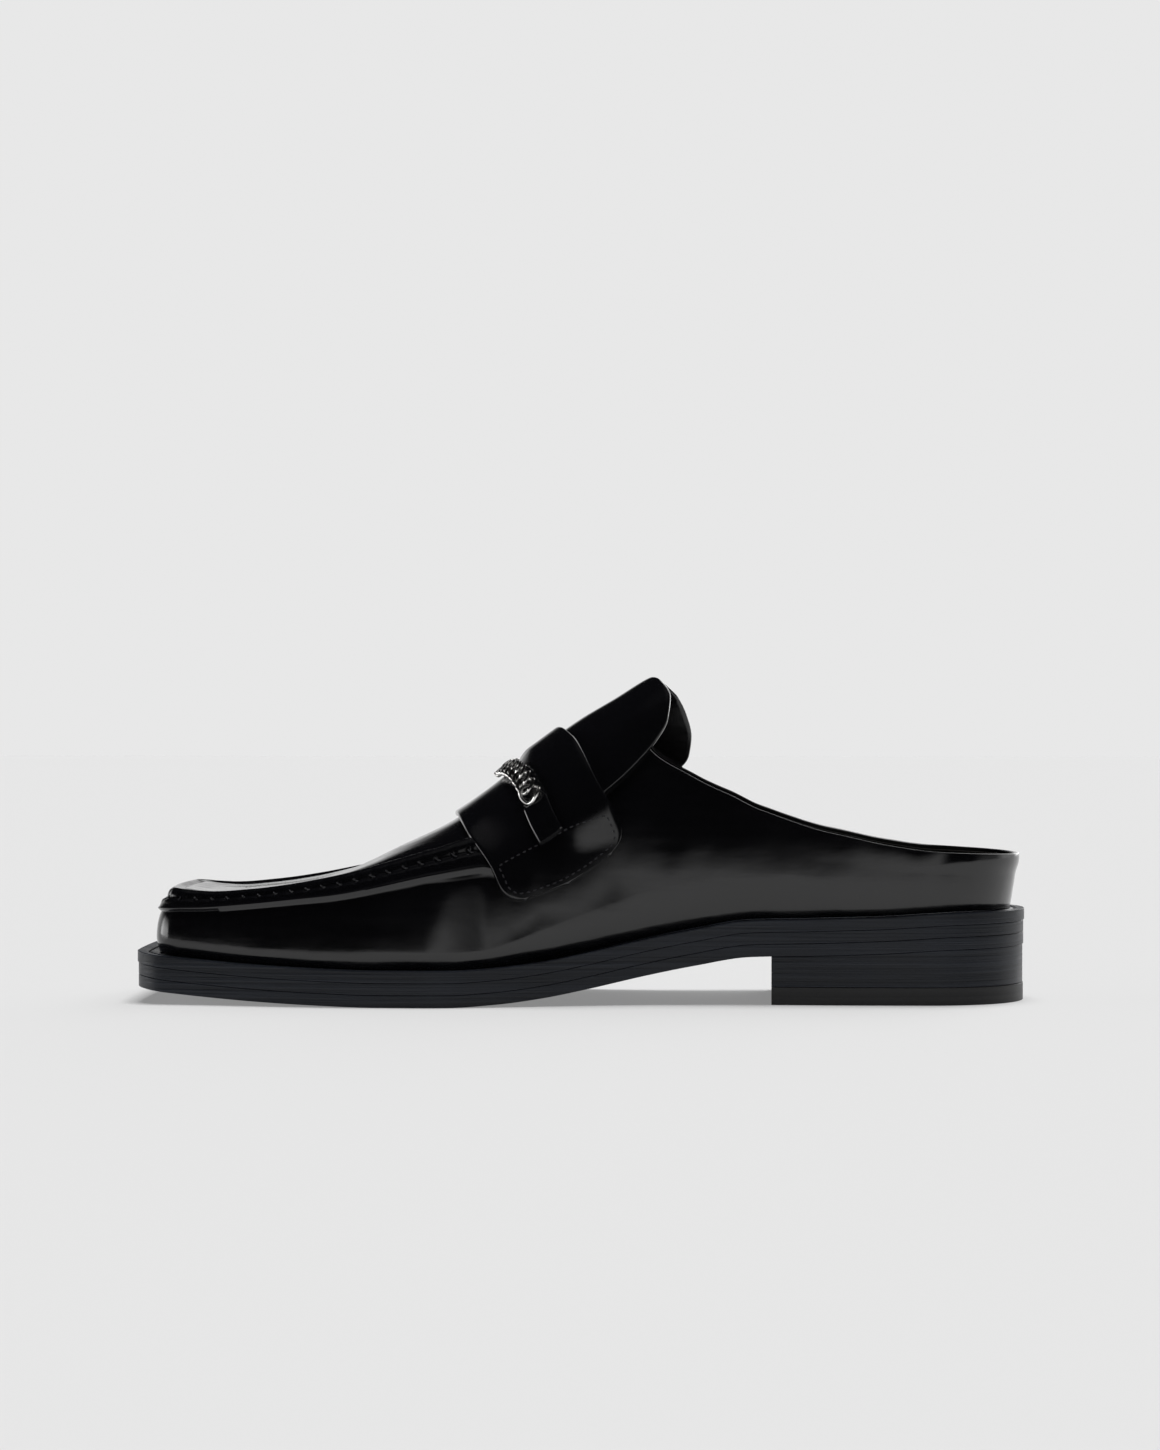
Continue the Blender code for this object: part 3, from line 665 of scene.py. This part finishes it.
# Welt: a flat strip of the same leather that stands out around the foot of the upper, sewn down
# through the midsole with a waxed black thread in a shallow groove.
WELT_SEAM_INSET = 0.0036
WELT_GROOVE = 0.00035
WELT_STITCH = 0.0031
WELT_THREAD = 0.00034
WELT_GROOVE_REACH = 0.0009
WELT_SEAM_START = 0.62
THREAD_SIDES = 6
SEW_SAMPLES = 400


def welt_top(side, around, inset):
    back, across = plan_point(side, around, inset)
    groove = WELT_GROOVE * max(0.0, 1.0 - (abs(inset - WELT_SEAM_INSET) / WELT_GROOVE_REACH) ** 2)
    return spot(back, across, sole_top(back / LENGTH) - groove)


places = outline_places()
welt_form = bmesh.new()
welt_rows = ((WELT_WIDTH, 0.0),) + edge_profile(0.0)
welt_insets = (EDGE_ROUND, 0.0015, 0.0026, 0.0030, 0.0033, 0.0036, 0.0039, 0.0042, 0.0046, 0.0070,
               WELT_WIDTH)
for side in (-1, 1):
    def lay_welt_side(step, row):
        depth, rise = welt_rows[row]
        back, across = plan_point(side, places[step], depth)
        base = welt_low(back / LENGTH) if row < 4 else sole_top(back / LENGTH)
        return spot(back, across, base + rise * EDGE_ROUND)
    lay_grid(welt_form, len(places) - 1, len(welt_rows) - 1, lay_welt_side)

    def lay_welt_top(step, row):
        return welt_top(side, places[step], welt_insets[row])
    lay_grid(welt_form, len(places) - 1, len(welt_insets) - 1, lay_welt_top)

    def lay_welt_back(step, row):
        back, across = plan_point(side, places[step], WELT_WIDTH)
        low = welt_low(back / LENGTH)
        return spot(back, across, low + (sole_top(back / LENGTH) - low) * row)
    lay_grid(welt_form, len(places) - 1, 1, lay_welt_back)
merge(welt_form)
show(welt_form, "welt", sole_edge, "sole_leather", "welt", sharp=CRISP)


def lay_thread(form, path, radius, sink):
    """One stitch: a short thread along a path of points and their normals, its ends sunk in."""
    last = len(path) - 1

    def lay(step, row):
        point, normal = path[step]
        ahead = path[min(step + 1, last)][0] - path[max(step - 1, 0)][0]
        beside = ahead.cross(normal).normalized()
        share = 2.0 * step / last - 1.0
        thick = radius * (1.0 - share ** 4) ** 0.5
        angle = 2.0 * pi * row / THREAD_SIDES
        drop = sink * share ** 4
        return point + normal * (thick * sin(angle) - drop) + beside * thick * cos(angle)
    lay_grid(form, last, THREAD_SIDES, lay)


def sew(form, line, pitch, fill, radius, sink, steps=6):
    """Stitches at an even pitch along a line, a function of a share that gives point and normal."""
    samples = [line(step / SEW_SAMPLES) for step in range(SEW_SAMPLES + 1)]
    lengths = [0.0]
    for first, second in zip(samples, samples[1:]):
        lengths.append(lengths[-1] + (second[0] - first[0]).length)
    count = max(1, round(lengths[-1] / pitch))

    def at(length):
        low = min(bisect_right(lengths, length), SEW_SAMPLES) - 1
        share = (length - lengths[low]) / max(lengths[low + 1] - lengths[low], 1e-9)
        normal = samples[low][1].lerp(samples[low + 1][1], share).normalized()
        return samples[low][0].lerp(samples[low + 1][0], share), normal
    for number in range(count):
        start = (number + 0.5 - fill / 2.0) * lengths[-1] / count
        end = (number + 0.5 + fill / 2.0) * lengths[-1] / count
        lay_thread(form, [at(start + (end - start) * step / steps) for step in range(steps + 1)],
                   radius, sink)


def thread_finish(name, colour, rough):
    """Waxed thread: twisted strands that run slantwise round it."""
    finish = Finish(bpy.data.materials.new(name))
    strands = finish.noise(1500.0, 2.0, (1.0, 1.0, 0.4), (0.6, 0.3, 0.8))
    return finish.end("ShaderNodeBsdfPrincipled", {
        "Base Color": finish.blend(strands, colour, tuple(1.8 * part for part in colour)),
        "Roughness": rough,
        "Normal": finish.bump(strands, 0.00008),
    })


thread = thread_finish("waxed_thread", (0.014, 0.014, 0.016), 0.42)
welt_seam = bmesh.new()
for side in (-1, 1):
    def welt_line(share):
        around = WELT_SEAM_START + (TOE_PLACE - WELT_SEAM_START) * share
        point = welt_top(side, around, WELT_SEAM_INSET)
        return point + Vector((0.0, 0.0, 0.00012)), Vector((0.0, 0.0, 1.0))
    sew(welt_seam, welt_line, WELT_STITCH, 0.78, WELT_THREAD, 0.0004)
merge(welt_seam)
show(welt_seam, "welt_stitches", thread, "sole_leather")


# Insole sock: thin smooth leather glued over the inside floor, a little dished under the heel.
SOCK = 0.0030
SOCK_DISH = 0.0008
SOCK_ROWS = 16
sock_form = bmesh.new()


def lay_sock(step, row):
    inset = WELT_WIDTH + GAP
    back, near = plan_point(-1, places[step], inset)
    far = plan_point(1, places[step], inset)[1]
    share = row / SOCK_ROWS
    dish = SOCK_DISH * sin(pi * share) ** 0.7
    return spot(back, near + (far - near) * share, welt_low(back / LENGTH) + INSOLE - dish)


lay_grid(sock_form, len(places) - 1, SOCK_ROWS, lay_sock)
bmesh.ops.remove_doubles(sock_form, verts=sock_form.verts, dist=MERGE)
bmesh.ops.recalc_face_normals(sock_form, faces=sock_form.faces)
if sum(face.normal.z for face in sock_form.faces) < 0.0:
    bmesh.ops.reverse_faces(sock_form, faces=sock_form.faces)
bmesh.ops.solidify(sock_form, geom=sock_form.faces, thickness=SOCK)


def lining_finish(name, colour, rough):
    """Soft lining leather: matt, with fine grain and faint clouds."""
    finish = Finish(bpy.data.materials.new(name))
    grain = finish.noise(1400.0, 4.0)
    cloud = finish.noise(70.0, 3.0)
    return finish.end("ShaderNodeBsdfPrincipled", {
        "Base Color": finish.blend(cloud, colour, tuple(1.5 * part for part in colour)),
        "Roughness": finish.ramp(cloud, (0.3, rough - 0.05), (0.7, rough + 0.07)),
        "Normal": finish.bump(grain, 0.00005),
    })


lining = lining_finish("lining_leather", (0.022, 0.021, 0.020), 0.5)
show(sock_form, "insole_sock", lining, "lining", "insole")


# Upper: black box leather, buffed to a mirror, pulled over the last and closed by hand along a
# moccasin seam: the edge of the wall is rolled over that of the apron and both are whipped together.
WALL = 0.0022
LEATHER = 0.0017
QUARTER_COLUMNS = 84
SEAM_COLUMNS = 250
SEAM_START = 0.58
UPPER_RIM = 0.040
WALL_PLACE = 1.90
SEAM_ROWS = (1.96, 3.10)

# Where the collar cuts the sections, from the quarters up to the throat
COLLAR = (
    # along, place
    (0.14, 3.00),
    (0.18, 2.96),
    (0.22, 2.96),
    (0.26, 3.01),
    (0.30, 3.035),
    (0.34, 3.02),
    (0.36, 3.07),
    (0.38, 3.15),
    (0.40, 3.25),
    (0.42, 3.42),
    (0.44, 3.85),
    (0.45, 4.35),
    (0.46, 5.00),
)
THROAT = COLLAR[-1][0]


def upper_columns():
    """Places round the outline, from the heel to the toe, closest where the seam runs."""
    start = around_of(SEAM_START)
    columns = [step / HEEL_PIECES for step in range(HEEL_PIECES)]
    columns += [1.0 + (start - 1.0) * step / QUARTER_COLUMNS for step in range(QUARTER_COLUMNS)]
    throat = around_of(THROAT)
    closest = min(range(len(columns)), key=lambda index: abs(columns[index] - throat))
    columns[closest] = throat
    columns += [start + (2.0 - start) * step / SEAM_COLUMNS for step in range(SEAM_COLUMNS)]
    columns += [2.0 + step / 26.0 for step in range(26)]
    columns += [3.0 + step / 60.0 for step in range(61)]
    return columns


def upper_rows(limit):
    """Places up a section: the wall, the seam in fine steps, and the apron up to its limit."""
    start, end = SEAM_ROWS
    rows = [start * step / 22.0 for step in range(22)]
    rows += [start + (end - start) * step / 34.0 for step in range(34)]
    rows += [end + (CREST_PLACE - end) * (step / 26.0) ** 0.9 for step in range(27)]
    fit = (limit - WALL_PLACE) / (CREST_PLACE - WALL_PLACE)
    return [row if row <= WALL_PLACE else WALL_PLACE + (row - WALL_PLACE) * fit for row in rows]


def upper_sheet(form, offset, drop):
    """The upper's skin at a depth, its free edge at the collar lowered by a drop."""
    half = upper_columns()
    loop = [(-1, place) for place in half] + [(1, place) for place in reversed(half[:-1])]
    lines = []
    for side, around in loop:
        along = plan_point(side, around, 0.0)[0] / LENGTH
        limit = read_table(COLLAR, 1, along)
        if along <= THROAT - 0.004:
            rise = surface(side, around, limit, 0.0) - surface(side, around, limit - 0.1, 0.0)
            limit -= drop * 0.1 / rise.length
        lines.append([surface(side, around, row, offset) for row in upper_rows(limit)])

    def lay(step, row):
        return lines[step][row]
    lay_grid(form, len(loop) - 1, len(lines[0]) - 1, lay)
    bmesh.ops.remove_doubles(form, verts=form.verts, dist=0.000008)
    bmesh.ops.recalc_face_normals(form, faces=form.faces)
    if sum(face.normal.y * face.calc_center_median().y for face in form.faces) < 0.0:
        bmesh.ops.reverse_faces(form, faces=form.faces)


def thicken(form, thickness, round_edge):
    """Gives a skin its thickness inwards and rounds its free edges."""
    rim = [vert.co.copy() for vert in form.verts if vert.is_boundary and vert.co.z > UPPER_RIM]
    tree = KDTree(len(rim))
    for index, place in enumerate(rim):
        tree.insert(place, index)
    tree.balance()
    bmesh.ops.solidify(form, geom=form.faces, thickness=thickness)
    edges = []
    for edge in form.edges:
        near = all(tree.find(vert.co)[2] < thickness * 1.15 for vert in edge.verts)
        if near and len(edge.link_faces) == 2 and edge.calc_face_angle(0.0) > 1.1:
            edges.append(edge)
    bmesh.ops.bevel(form, geom=edges, offset=round_edge, segments=3, affect="EDGES", profile=0.5,
                    material=-1)


def leather_finish(name, colour, rough, waves):
    """Box leather: nearly flat, with pores, a slow unevenness and fine marks from the brush."""
    finish = Finish(bpy.data.materials.new(name))
    wave = finish.noise(26.0, 2.0)
    ripple = finish.noise(170.0, 3.0, (0.35, 1.0, 1.0))
    pores = finish.noise(2100.0, 2.0)
    brush = finish.noise(420.0, 4.0, (0.06, 1.0, 1.0), (0.0, 0.5, 0.0))
    dust = finish.ramp(finish.noise(900.0, 1.0), (0.70, 0.0), (0.78, 1.0))
    streaks = finish.noise(95.0, 3.0, (0.30, 1.0, 0.8), (0.0, 0.35, 0.0))
    smooth = finish.bump(wave, waves)
    smooth = finish.bump(streaks, waves * 0.16, smooth)
    smooth = finish.bump(ripple, waves * 0.05, smooth)
    smooth = finish.bump(pores, 0.000007, smooth)
    return finish.end("ShaderNodeBsdfPrincipled", {
        "Base Color": finish.blend(wave * 0.7 + dust * 0.3, colour, tuple(2.2 * part for part in colour)),
        "Roughness": finish.ramp(brush * 0.6 + wave * 0.4, (0.35, rough - 0.05), (0.65, rough + 0.07)),
        "IOR": 1.5,
        "Coat Weight": 0.35,
        "Coat Roughness": 0.05,
        "Normal": smooth,
    })


box_leather = leather_finish("box_leather", (0.0020, 0.0020, 0.0026), 0.17, 0.0012)
skin_form = bmesh.new()
upper_sheet(skin_form, 0.0, 0.0)
thicken(skin_form, LEATHER, 0.00035)
show(skin_form, "upper_leather", box_leather, "upper_leather", "upper", sharp=SOFT)

lining_form = bmesh.new()
upper_sheet(lining_form, -LEATHER - 0.00005, 0.0012)
thicken(lining_form, WALL - LEATHER, 0.0002)
show(lining_form, "quarter_lining", lining, "lining", sharp=SOFT)

WHIP_SLANT = 0.0024
WHIP_WIDTH = 0.20
WHIP_LIFT = 0.00030
WHIP_THREAD = 0.00030
WHIP_STEPS = 8
whip_seam = bmesh.new()
for side in (-1, 1):
    around = TOE_PLACE if side < 0 else TOE_PLACE - 0.02
    next_stitch = 0.0 if side < 0 else STITCH_PITCH
    while around > around_of(SEAM_FADE[0]) + 0.04:
        if seam_reach(side, around) >= next_stitch:
            path = []
            for step in range(WHIP_STEPS + 1):
                share = step / WHIP_STEPS
                shift = WHIP_SLANT * (share - 0.5) / (LENGTH - TOE_CORNER - HEEL_ROUND)
                lift = 0.00002 + WHIP_LIFT * sin(pi * share)
                row = SEAM_MIDDLE + WHIP_WIDTH * (share - 0.5)
                place = min(max(around + shift, 0.0), TOE_PLACE)
                path.append((surface(side, place, row, lift), outward(side, place, row)))
            lay_thread(whip_seam, path, WHIP_THREAD, 0.0004)
            next_stitch += STITCH_PITCH
        around -= 0.001
merge(whip_seam)
show(whip_seam, "whip_stitches", thread, "upper_leather")


# Tongue: one piece of the same leather, lined, folded over at its edge so that it is thick and
# round there. It leaves from under the strap and stands over the opening, curved round the foot.
TONGUE = 0.0021
TONGUE_TUCK = 0.008
TONGUE_STEPS = 120
TONGUE_ROWS = 44

# Free edge of the tongue by its place in the section
TONGUE_EDGE = (
    # place, outer along, inner along
    (3.05, 0.500, 0.450),
    (3.15, 0.472, 0.397),
    (3.30, 0.444, 0.384),
    (3.50, 0.418, 0.381),
    (3.70, 0.405, 0.386),
    (4.00, 0.402, 0.397),
    (4.50, 0.411, 0.411),
    (5.00, 0.423, 0.423),
)

# The saddle strap from its middle to its end: front and back edge
STRAP_EDGES = (
    # share, front along, front place, back along, back place
    (0.00, 0.643, 5.00, 0.525, 5.00),
    (0.25, 0.635, 4.00, 0.511, 4.25),
    (0.50, 0.619, 2.90, 0.488, 3.45),
    (0.75, 0.597, 2.08, 0.465, 2.85),
    (1.00, 0.577, 1.62, 0.449, 2.38),
)


strap_back_edge = sorted((row[4], row[3]) for row in STRAP_EDGES)


def tongue_point(step, row, offset):
    low = TONGUE_EDGE[0][0]
    place = low + 2.0 * (CREST_PLACE - low) * (0.5 - 0.5 * cos(pi * step / TONGUE_STEPS))
    near = place <= CREST_PLACE
    folded = place if near else 2.0 * CREST_PLACE - place
    edge = read_table(TONGUE_EDGE, 1 if near else 2, folded)
    root = read_table(strap_back_edge, 1, folded) + TONGUE_TUCK / LENGTH
    share = row / TONGUE_ROWS
    along = root + (edge - root) * share
    skive = 0.55 + 0.45 * ease(share * 4.0)
    return surface(-1, around_of(along), place, GAP + offset * skive)


def rimmed_sheet(form, steps, rows, point, thick, lift):
    """A piece of leather between two faces of a grid, joined by a rounded rim all round."""
    rims = 5
    for face in (thick, lift):
        def lay(step, row):
            return point(step, row, face)
        lay_grid(form, steps, rows, lay)
    border = [(step, 0) for step in range(steps)] + [(steps, row) for row in range(rows)]
    border += [(step, rows) for step in range(steps, 0, -1)] + [(0, row) for row in range(rows, -1, -1)]

    def lay_rim(index, row):
        step, cross = border[index]
        high = point(step, cross, thick)
        base = point(step, cross, lift)
        inner_step = min(max(step, 1), steps - 1)
        inner_cross = min(max(cross, 1), rows - 1)
        out = (high - point(inner_step, inner_cross, thick)).normalized()
        angle = pi * row / rims
        middle = (high + base) / 2.0
        half = (high - base) / 2.0
        return middle + half * cos(angle) + out * half.length * 0.8 * sin(angle)
    lay_grid(form, len(border) - 1, rims, lay_rim)
    merge(form)


tongue_form = bmesh.new()
rimmed_sheet(tongue_form, TONGUE_STEPS, TONGUE_ROWS, tongue_point, TONGUE, 0.0)
show(tongue_form, "tongue", box_leather, "upper_leather", "tongue", sharp=SOFT)


# Saddle strap: a wide band of leather over the instep, its square ends sewn to the wall, with a
# second seam across each end. It lies over the tongue's root and stands a little proud.
STRAP = 0.0019
STRAP_GAP = 0.0005
STRAP_CORNER = 0.0060
TONGUE_LIFT = (0.54, 0.74)
STRAP_RAMP = (2.35, 3.05)
CHAIN_LINE = (0.50, 0.57)
RING_SHARE = 0.465
STRAP_STEPS = 40
STRAP_CORNER_STEPS = 10
STRAP_ROWS = 36


def strap_place(share, width):
    """Along and place on the strap, by its shares from middle to end and from front to back."""
    share = abs(share)
    edges = [read_table(STRAP_EDGES, column, share) for column in (1, 2, 3, 4)]
    along = edges[0] + (edges[2] - edges[0]) * width
    return along, edges[1] + (edges[3] - edges[1]) * width


def strap_surface(share, width, offset):
    """A point over the upper at a place of the saddle strap, clear of the tongue under it."""
    along, place = strap_place(share, width)
    over_tongue = ease((width - TONGUE_LIFT[0]) / (TONGUE_LIFT[1] - TONGUE_LIFT[0]))
    over_tongue *= ease((place - STRAP_RAMP[0]) / (STRAP_RAMP[1] - STRAP_RAMP[0]))
    lift = STRAP_GAP + over_tongue * (TONGUE + GAP)
    if share > 0.0:
        place = 2.0 * CREST_PLACE - place
    return surface(-1, around_of(along), place, lift + offset, seam=False)


strap_line = [strap_surface(step / 24.0, 0.5, STRAP) for step in range(25)]
strap_long = sum((after - before).length for before, after in zip(strap_line, strap_line[1:]))
strap_wide = (strap_surface(-0.8, 0.0, STRAP) - strap_surface(-0.8, 1.0, STRAP)).length
strap_corner = STRAP_CORNER / strap_long
strap_shares = [step / STRAP_STEPS * (1.0 - strap_corner) for step in range(STRAP_STEPS + 1)]
for step in range(1, STRAP_CORNER_STEPS + 1):
    strap_shares.append(1.0 - strap_corner * (1.0 - sin(step * pi / (2.0 * STRAP_CORNER_STEPS))))
strap_shares = [-share for share in reversed(strap_shares[1:])] + strap_shares


def strap_cut(share):
    """How far the rounded corner cuts into the strap's width at a share along it."""
    depth = min(1.0, max(0.0, abs(share) - 1.0 + strap_corner) / strap_corner)
    return (1.0 - (1.0 - depth * depth) ** 0.5) * STRAP_CORNER / strap_wide


def strap_grid(step, row, offset):
    share = strap_shares[step]
    cut = strap_cut(share)
    return strap_surface(share, cut + (1.0 - 2.0 * cut) * row / STRAP_ROWS, offset)


strap_form = bmesh.new()
rimmed_sheet(strap_form, len(strap_shares) - 1, STRAP_ROWS, strap_grid, STRAP, -0.0004)
show(strap_form, "saddle_strap", box_leather, "upper_leather", "saddle_strap", sharp=SOFT)


def strap_normal(share, width):
    step = 0.01
    along = strap_surface(share + step, width, STRAP) - strap_surface(share - step, width, STRAP)
    across = strap_surface(share, width + step, STRAP) - strap_surface(share, width - step, STRAP)
    normal = along.cross(across).normalized()
    return -normal if normal.z < 0.0 else normal


STRAP_SEAM = 0.0021
STRAP_STITCH = 0.0023
STRAP_THREAD = 0.00026
CROSS_SEAM = 0.765
CROSS_SEAM_BOW = 0.12
STITCH_FILL = 0.72
STITCH_SINK = 0.0003
strap_seams = bmesh.new()
edge_share = STRAP_SEAM / strap_wide
end_share = 1.0 - STRAP_SEAM / strap_long


def seam_across(sign):
    def line(share):
        width = edge_share + (1.0 - 2.0 * edge_share) * share
        place = sign * (CROSS_SEAM - CROSS_SEAM_BOW * sin(pi * share) ** 0.8)
        return strap_surface(place, width, STRAP), strap_normal(place, width)
    return line


def seam_round_end(sign):
    """Down the front edge, round the end's corners and up the back edge."""
    corner_long = (STRAP_CORNER - STRAP_SEAM) / strap_long
    corner_wide = (STRAP_CORNER - STRAP_SEAM) / strap_wide
    stops = [(CROSS_SEAM, edge_share), (end_share - corner_long, edge_share)]
    for step in range(1, 6):
        angle = pi * step / 12.0
        stops.append((end_share - corner_long * (1.0 - sin(angle)),
                      edge_share + corner_wide * (1.0 - cos(angle))))
    stops.append((end_share, edge_share + corner_wide))
    stops += [(share, 1.0 - width) for share, width in reversed(stops)]

    def line(share):
        place = share * (len(stops) - 1)
        index = min(int(place), len(stops) - 2)
        part = place - index
        first, second = stops[index], stops[index + 1]
        long = sign * (first[0] + (second[0] - first[0]) * part)
        width = first[1] + (second[1] - first[1]) * part
        return strap_surface(long, width, STRAP), strap_normal(long, width)
    return line


for sign in (-1, 1):
    sew(strap_seams, seam_across(sign), STRAP_STITCH, STITCH_FILL, STRAP_THREAD, STITCH_SINK)
    sew(strap_seams, seam_round_end(sign), STRAP_STITCH, STITCH_FILL, STRAP_THREAD, STITCH_SINK)
merge(strap_seams)
show(strap_seams, "strap_stitches", thread, "upper_leather")


# Narrow straps: a folded strip of leather on each side that is caught under the seam across the
# saddle strap's end and holds the ring of the chain in a loop at its upper end.
CHAIN_STRAP = 0.0017
CHAIN_STRAP_WIDTH = 0.0076
STRIP_LONG = 40
STRIP_WIDE = 14
STRIP_END = 0.655
STRIP_SINK = 0.0021
STRIP_SINK_REACH = 0.009
STRIP_CROWN = 0.00035


def chain_line(share):
    """Where the chain and its straps run on the saddle strap, from its front to its back."""
    return CHAIN_LINE[0] + (CHAIN_LINE[1] - CHAIN_LINE[0]) * ease(abs(share) / RING_SHARE)


def chain_frame(share, height):
    """Place, direction along the chain, direction across and normal on the saddle strap."""
    step = 0.02
    line = chain_line(share)
    place = strap_surface(share, line, STRAP)
    after = strap_surface(share + step, chain_line(share + step), STRAP)
    along = after - strap_surface(share - step, chain_line(share - step), STRAP)
    across = strap_surface(share, line + step, STRAP) - strap_surface(share, line - step, STRAP)
    normal = along.cross(across).normalized()
    if normal.z < 0.0:
        normal = -normal
    along.normalize()
    across = normal.cross(along).normalized()
    return place + normal * height, along, across, normal


def strip_sheet(sign):
    """Places on the narrow strap of one side, from its loop at the ring to its sewn-in end."""
    width = CHAIN_STRAP_WIDTH / strap_wide

    def point(step, row, offset):
        share = RING_SHARE + (STRIP_END - RING_SHARE) * step / STRIP_LONG
        across = chain_line(share) + (row / STRIP_WIDE - 0.5) * width
        height = offset - STRIP_SINK * ease((share - STRIP_END) / STRIP_SINK_REACH + 1.0)
        if offset > STRAP:
            height += STRIP_CROWN * sin(pi * row / STRIP_WIDE)
        return strap_surface(sign * share, across, height)
    return point


for name, sign in (("chain_strap_near", -1), ("chain_strap_far", 1)):
    strip_form = bmesh.new()
    rimmed_sheet(strip_form, STRIP_LONG, STRIP_WIDE, strip_sheet(sign),
                 STRAP + 1.5 * GAP + CHAIN_STRAP - STRIP_CROWN, STRAP - 0.0002)
    show(strip_form, name, box_leather, "upper_leather", name, sharp=SOFT)


# Curb chain: silver-coloured wire links, each twisted to lie flat on the next, between two plain
# rings that hang in the loops of the narrow straps.
LINKS = 13
LINK_LENGTH = 1.50
LINK_WIDTH = 1.475
LINK_WAVE = 0.137
LINK_WIRE = 0.316
LINK_HEIGHT = 0.553
RING_SIZE = 1.684
LINK_TWIST = 0.3
CHAIN_STEPS = 400
WIRE_STEPS = 56
WIRE_SIDES = 16
LINK_FLAT = 0.62
LINK_FILED = 0.12
LINK_THICKER = 1.12


def link_curve(length, width, wave, count):
    """The centre line of a curb link: an oval that waves and twists about the chain."""
    points = []
    for step in range(count):
        angle = 2.0 * pi * step / count
        along = length / 2.0 * cos(angle)
        across = width / 2.0 * sin(angle)
        rise = wave * sin(2.0 * angle)
        turn = LINK_TWIST * cos(angle)
        points.append(Vector((along, across * cos(turn) - rise * sin(turn),
                              across * sin(turn) + rise * cos(turn))))
    return points


def chain_run(height):
    """Shares along the saddle strap from ring to ring, and the length of the chain to each."""
    shares = [-RING_SHARE + 2.0 * RING_SHARE * step / CHAIN_STEPS for step in range(CHAIN_STEPS + 1)]
    points = [chain_frame(share, height)[0] for share in shares]
    lengths = [0.0]
    for first, second in zip(points, points[1:]):
        lengths.append(lengths[-1] + (second - first).length)
    return shares, lengths


def add_link(form, centre, wire, flat, matrix):
    """A closed round wire along the link's centre line, filed flat on its upper side."""
    count = len(centre)

    def lay(step, row):
        index = step % count
        point = centre[index]
        ahead = (centre[(index + 1) % count] - centre[index - 1]).normalized()
        outside = (point - ahead * point.dot(ahead)).normalized()
        beside = ahead.cross(outside)
        angle = 2.0 * pi * row / WIRE_SIDES
        place = point + (outside * cos(angle) + beside * sin(angle)) * wire / 2.0
        if place.z > flat:
            place.z = flat + (place.z - flat) * LINK_FILED
        return matrix @ place
    lay_grid(form, count, WIRE_SIDES, lay)


def metal_finish(name, colour, rough):
    """Plated wire: bright, with fine scratches and a darker film in random patches."""
    finish = Finish(bpy.data.materials.new(name))
    scratches = finish.noise(2600.0, 2.0, (0.15, 1.0, 1.0), (0.4, 0.2, 0.9))
    film = finish.noise(380.0, 2.0)
    return finish.end("ShaderNodeBsdfPrincipled", {
        "Base Color": finish.blend(film, colour, tuple(0.72 * part for part in colour)),
        "Metallic": 1.0,
        "Roughness": finish.ramp(film, (0.3, rough), (0.7, rough + 0.10)),
        "Normal": finish.bump(scratches, 0.000010),
    })


chain_metal = metal_finish("chain_metal", (0.92, 0.91, 0.89), 0.15)
pitch = LENGTH / 80.0
for _ in range(2):
    chain_shares, chain_lengths = chain_run(LINK_HEIGHT * pitch)
    chain_long = chain_lengths[-1] - 2.0 * GAP
    pitch = chain_long / (LINKS + 1 + 2.0 * RING_SIZE + LINK_WIRE - LINK_LENGTH)
reach = (RING_SIZE + LINK_WIRE) / 2.0 * pitch + GAP
first_link = reach + pitch * (1.0 + (RING_SIZE - LINK_LENGTH) / 2.0)
link_line = link_curve(LINK_LENGTH * pitch, LINK_WIDTH * pitch, LINK_WAVE * pitch, WIRE_STEPS)
ring_line = link_curve(RING_SIZE * pitch, RING_SIZE * pitch, LINK_WAVE * pitch, WIRE_STEPS)


def chain_place(stop):
    """Where a link lies: its place and axes, at a length along the chain."""
    index = bisect_right(chain_lengths, stop) - 1
    place, *axes = chain_frame(chain_shares[index], LINK_HEIGHT * pitch)
    rows = [[axis[k] for axis in axes] + [place[k]] for k in range(3)]
    return Matrix(rows + [[0.0, 0.0, 0.0, 1.0]])


for name, stop in (("ring_near", reach), ("ring_far", chain_lengths[-1] - reach)):
    ring_form = bmesh.new()
    add_link(ring_form, ring_line, LINK_WIRE * pitch, 1.0, chain_place(stop))
    merge(ring_form)
    show(ring_form, name, chain_metal, "chain_metal", name, sharp=SOFT)
for number in range(LINKS):
    link_form = bmesh.new()
    add_link(link_form, link_line, LINK_WIRE * pitch * LINK_THICKER, LINK_FLAT * LINK_WIRE * pitch,
             chain_place(first_link + number * pitch))
    merge(link_form)
    name = f"chain_link_{number + 1:02d}"
    show(link_form, name, chain_metal, "chain_metal", name, sharp=0.9)
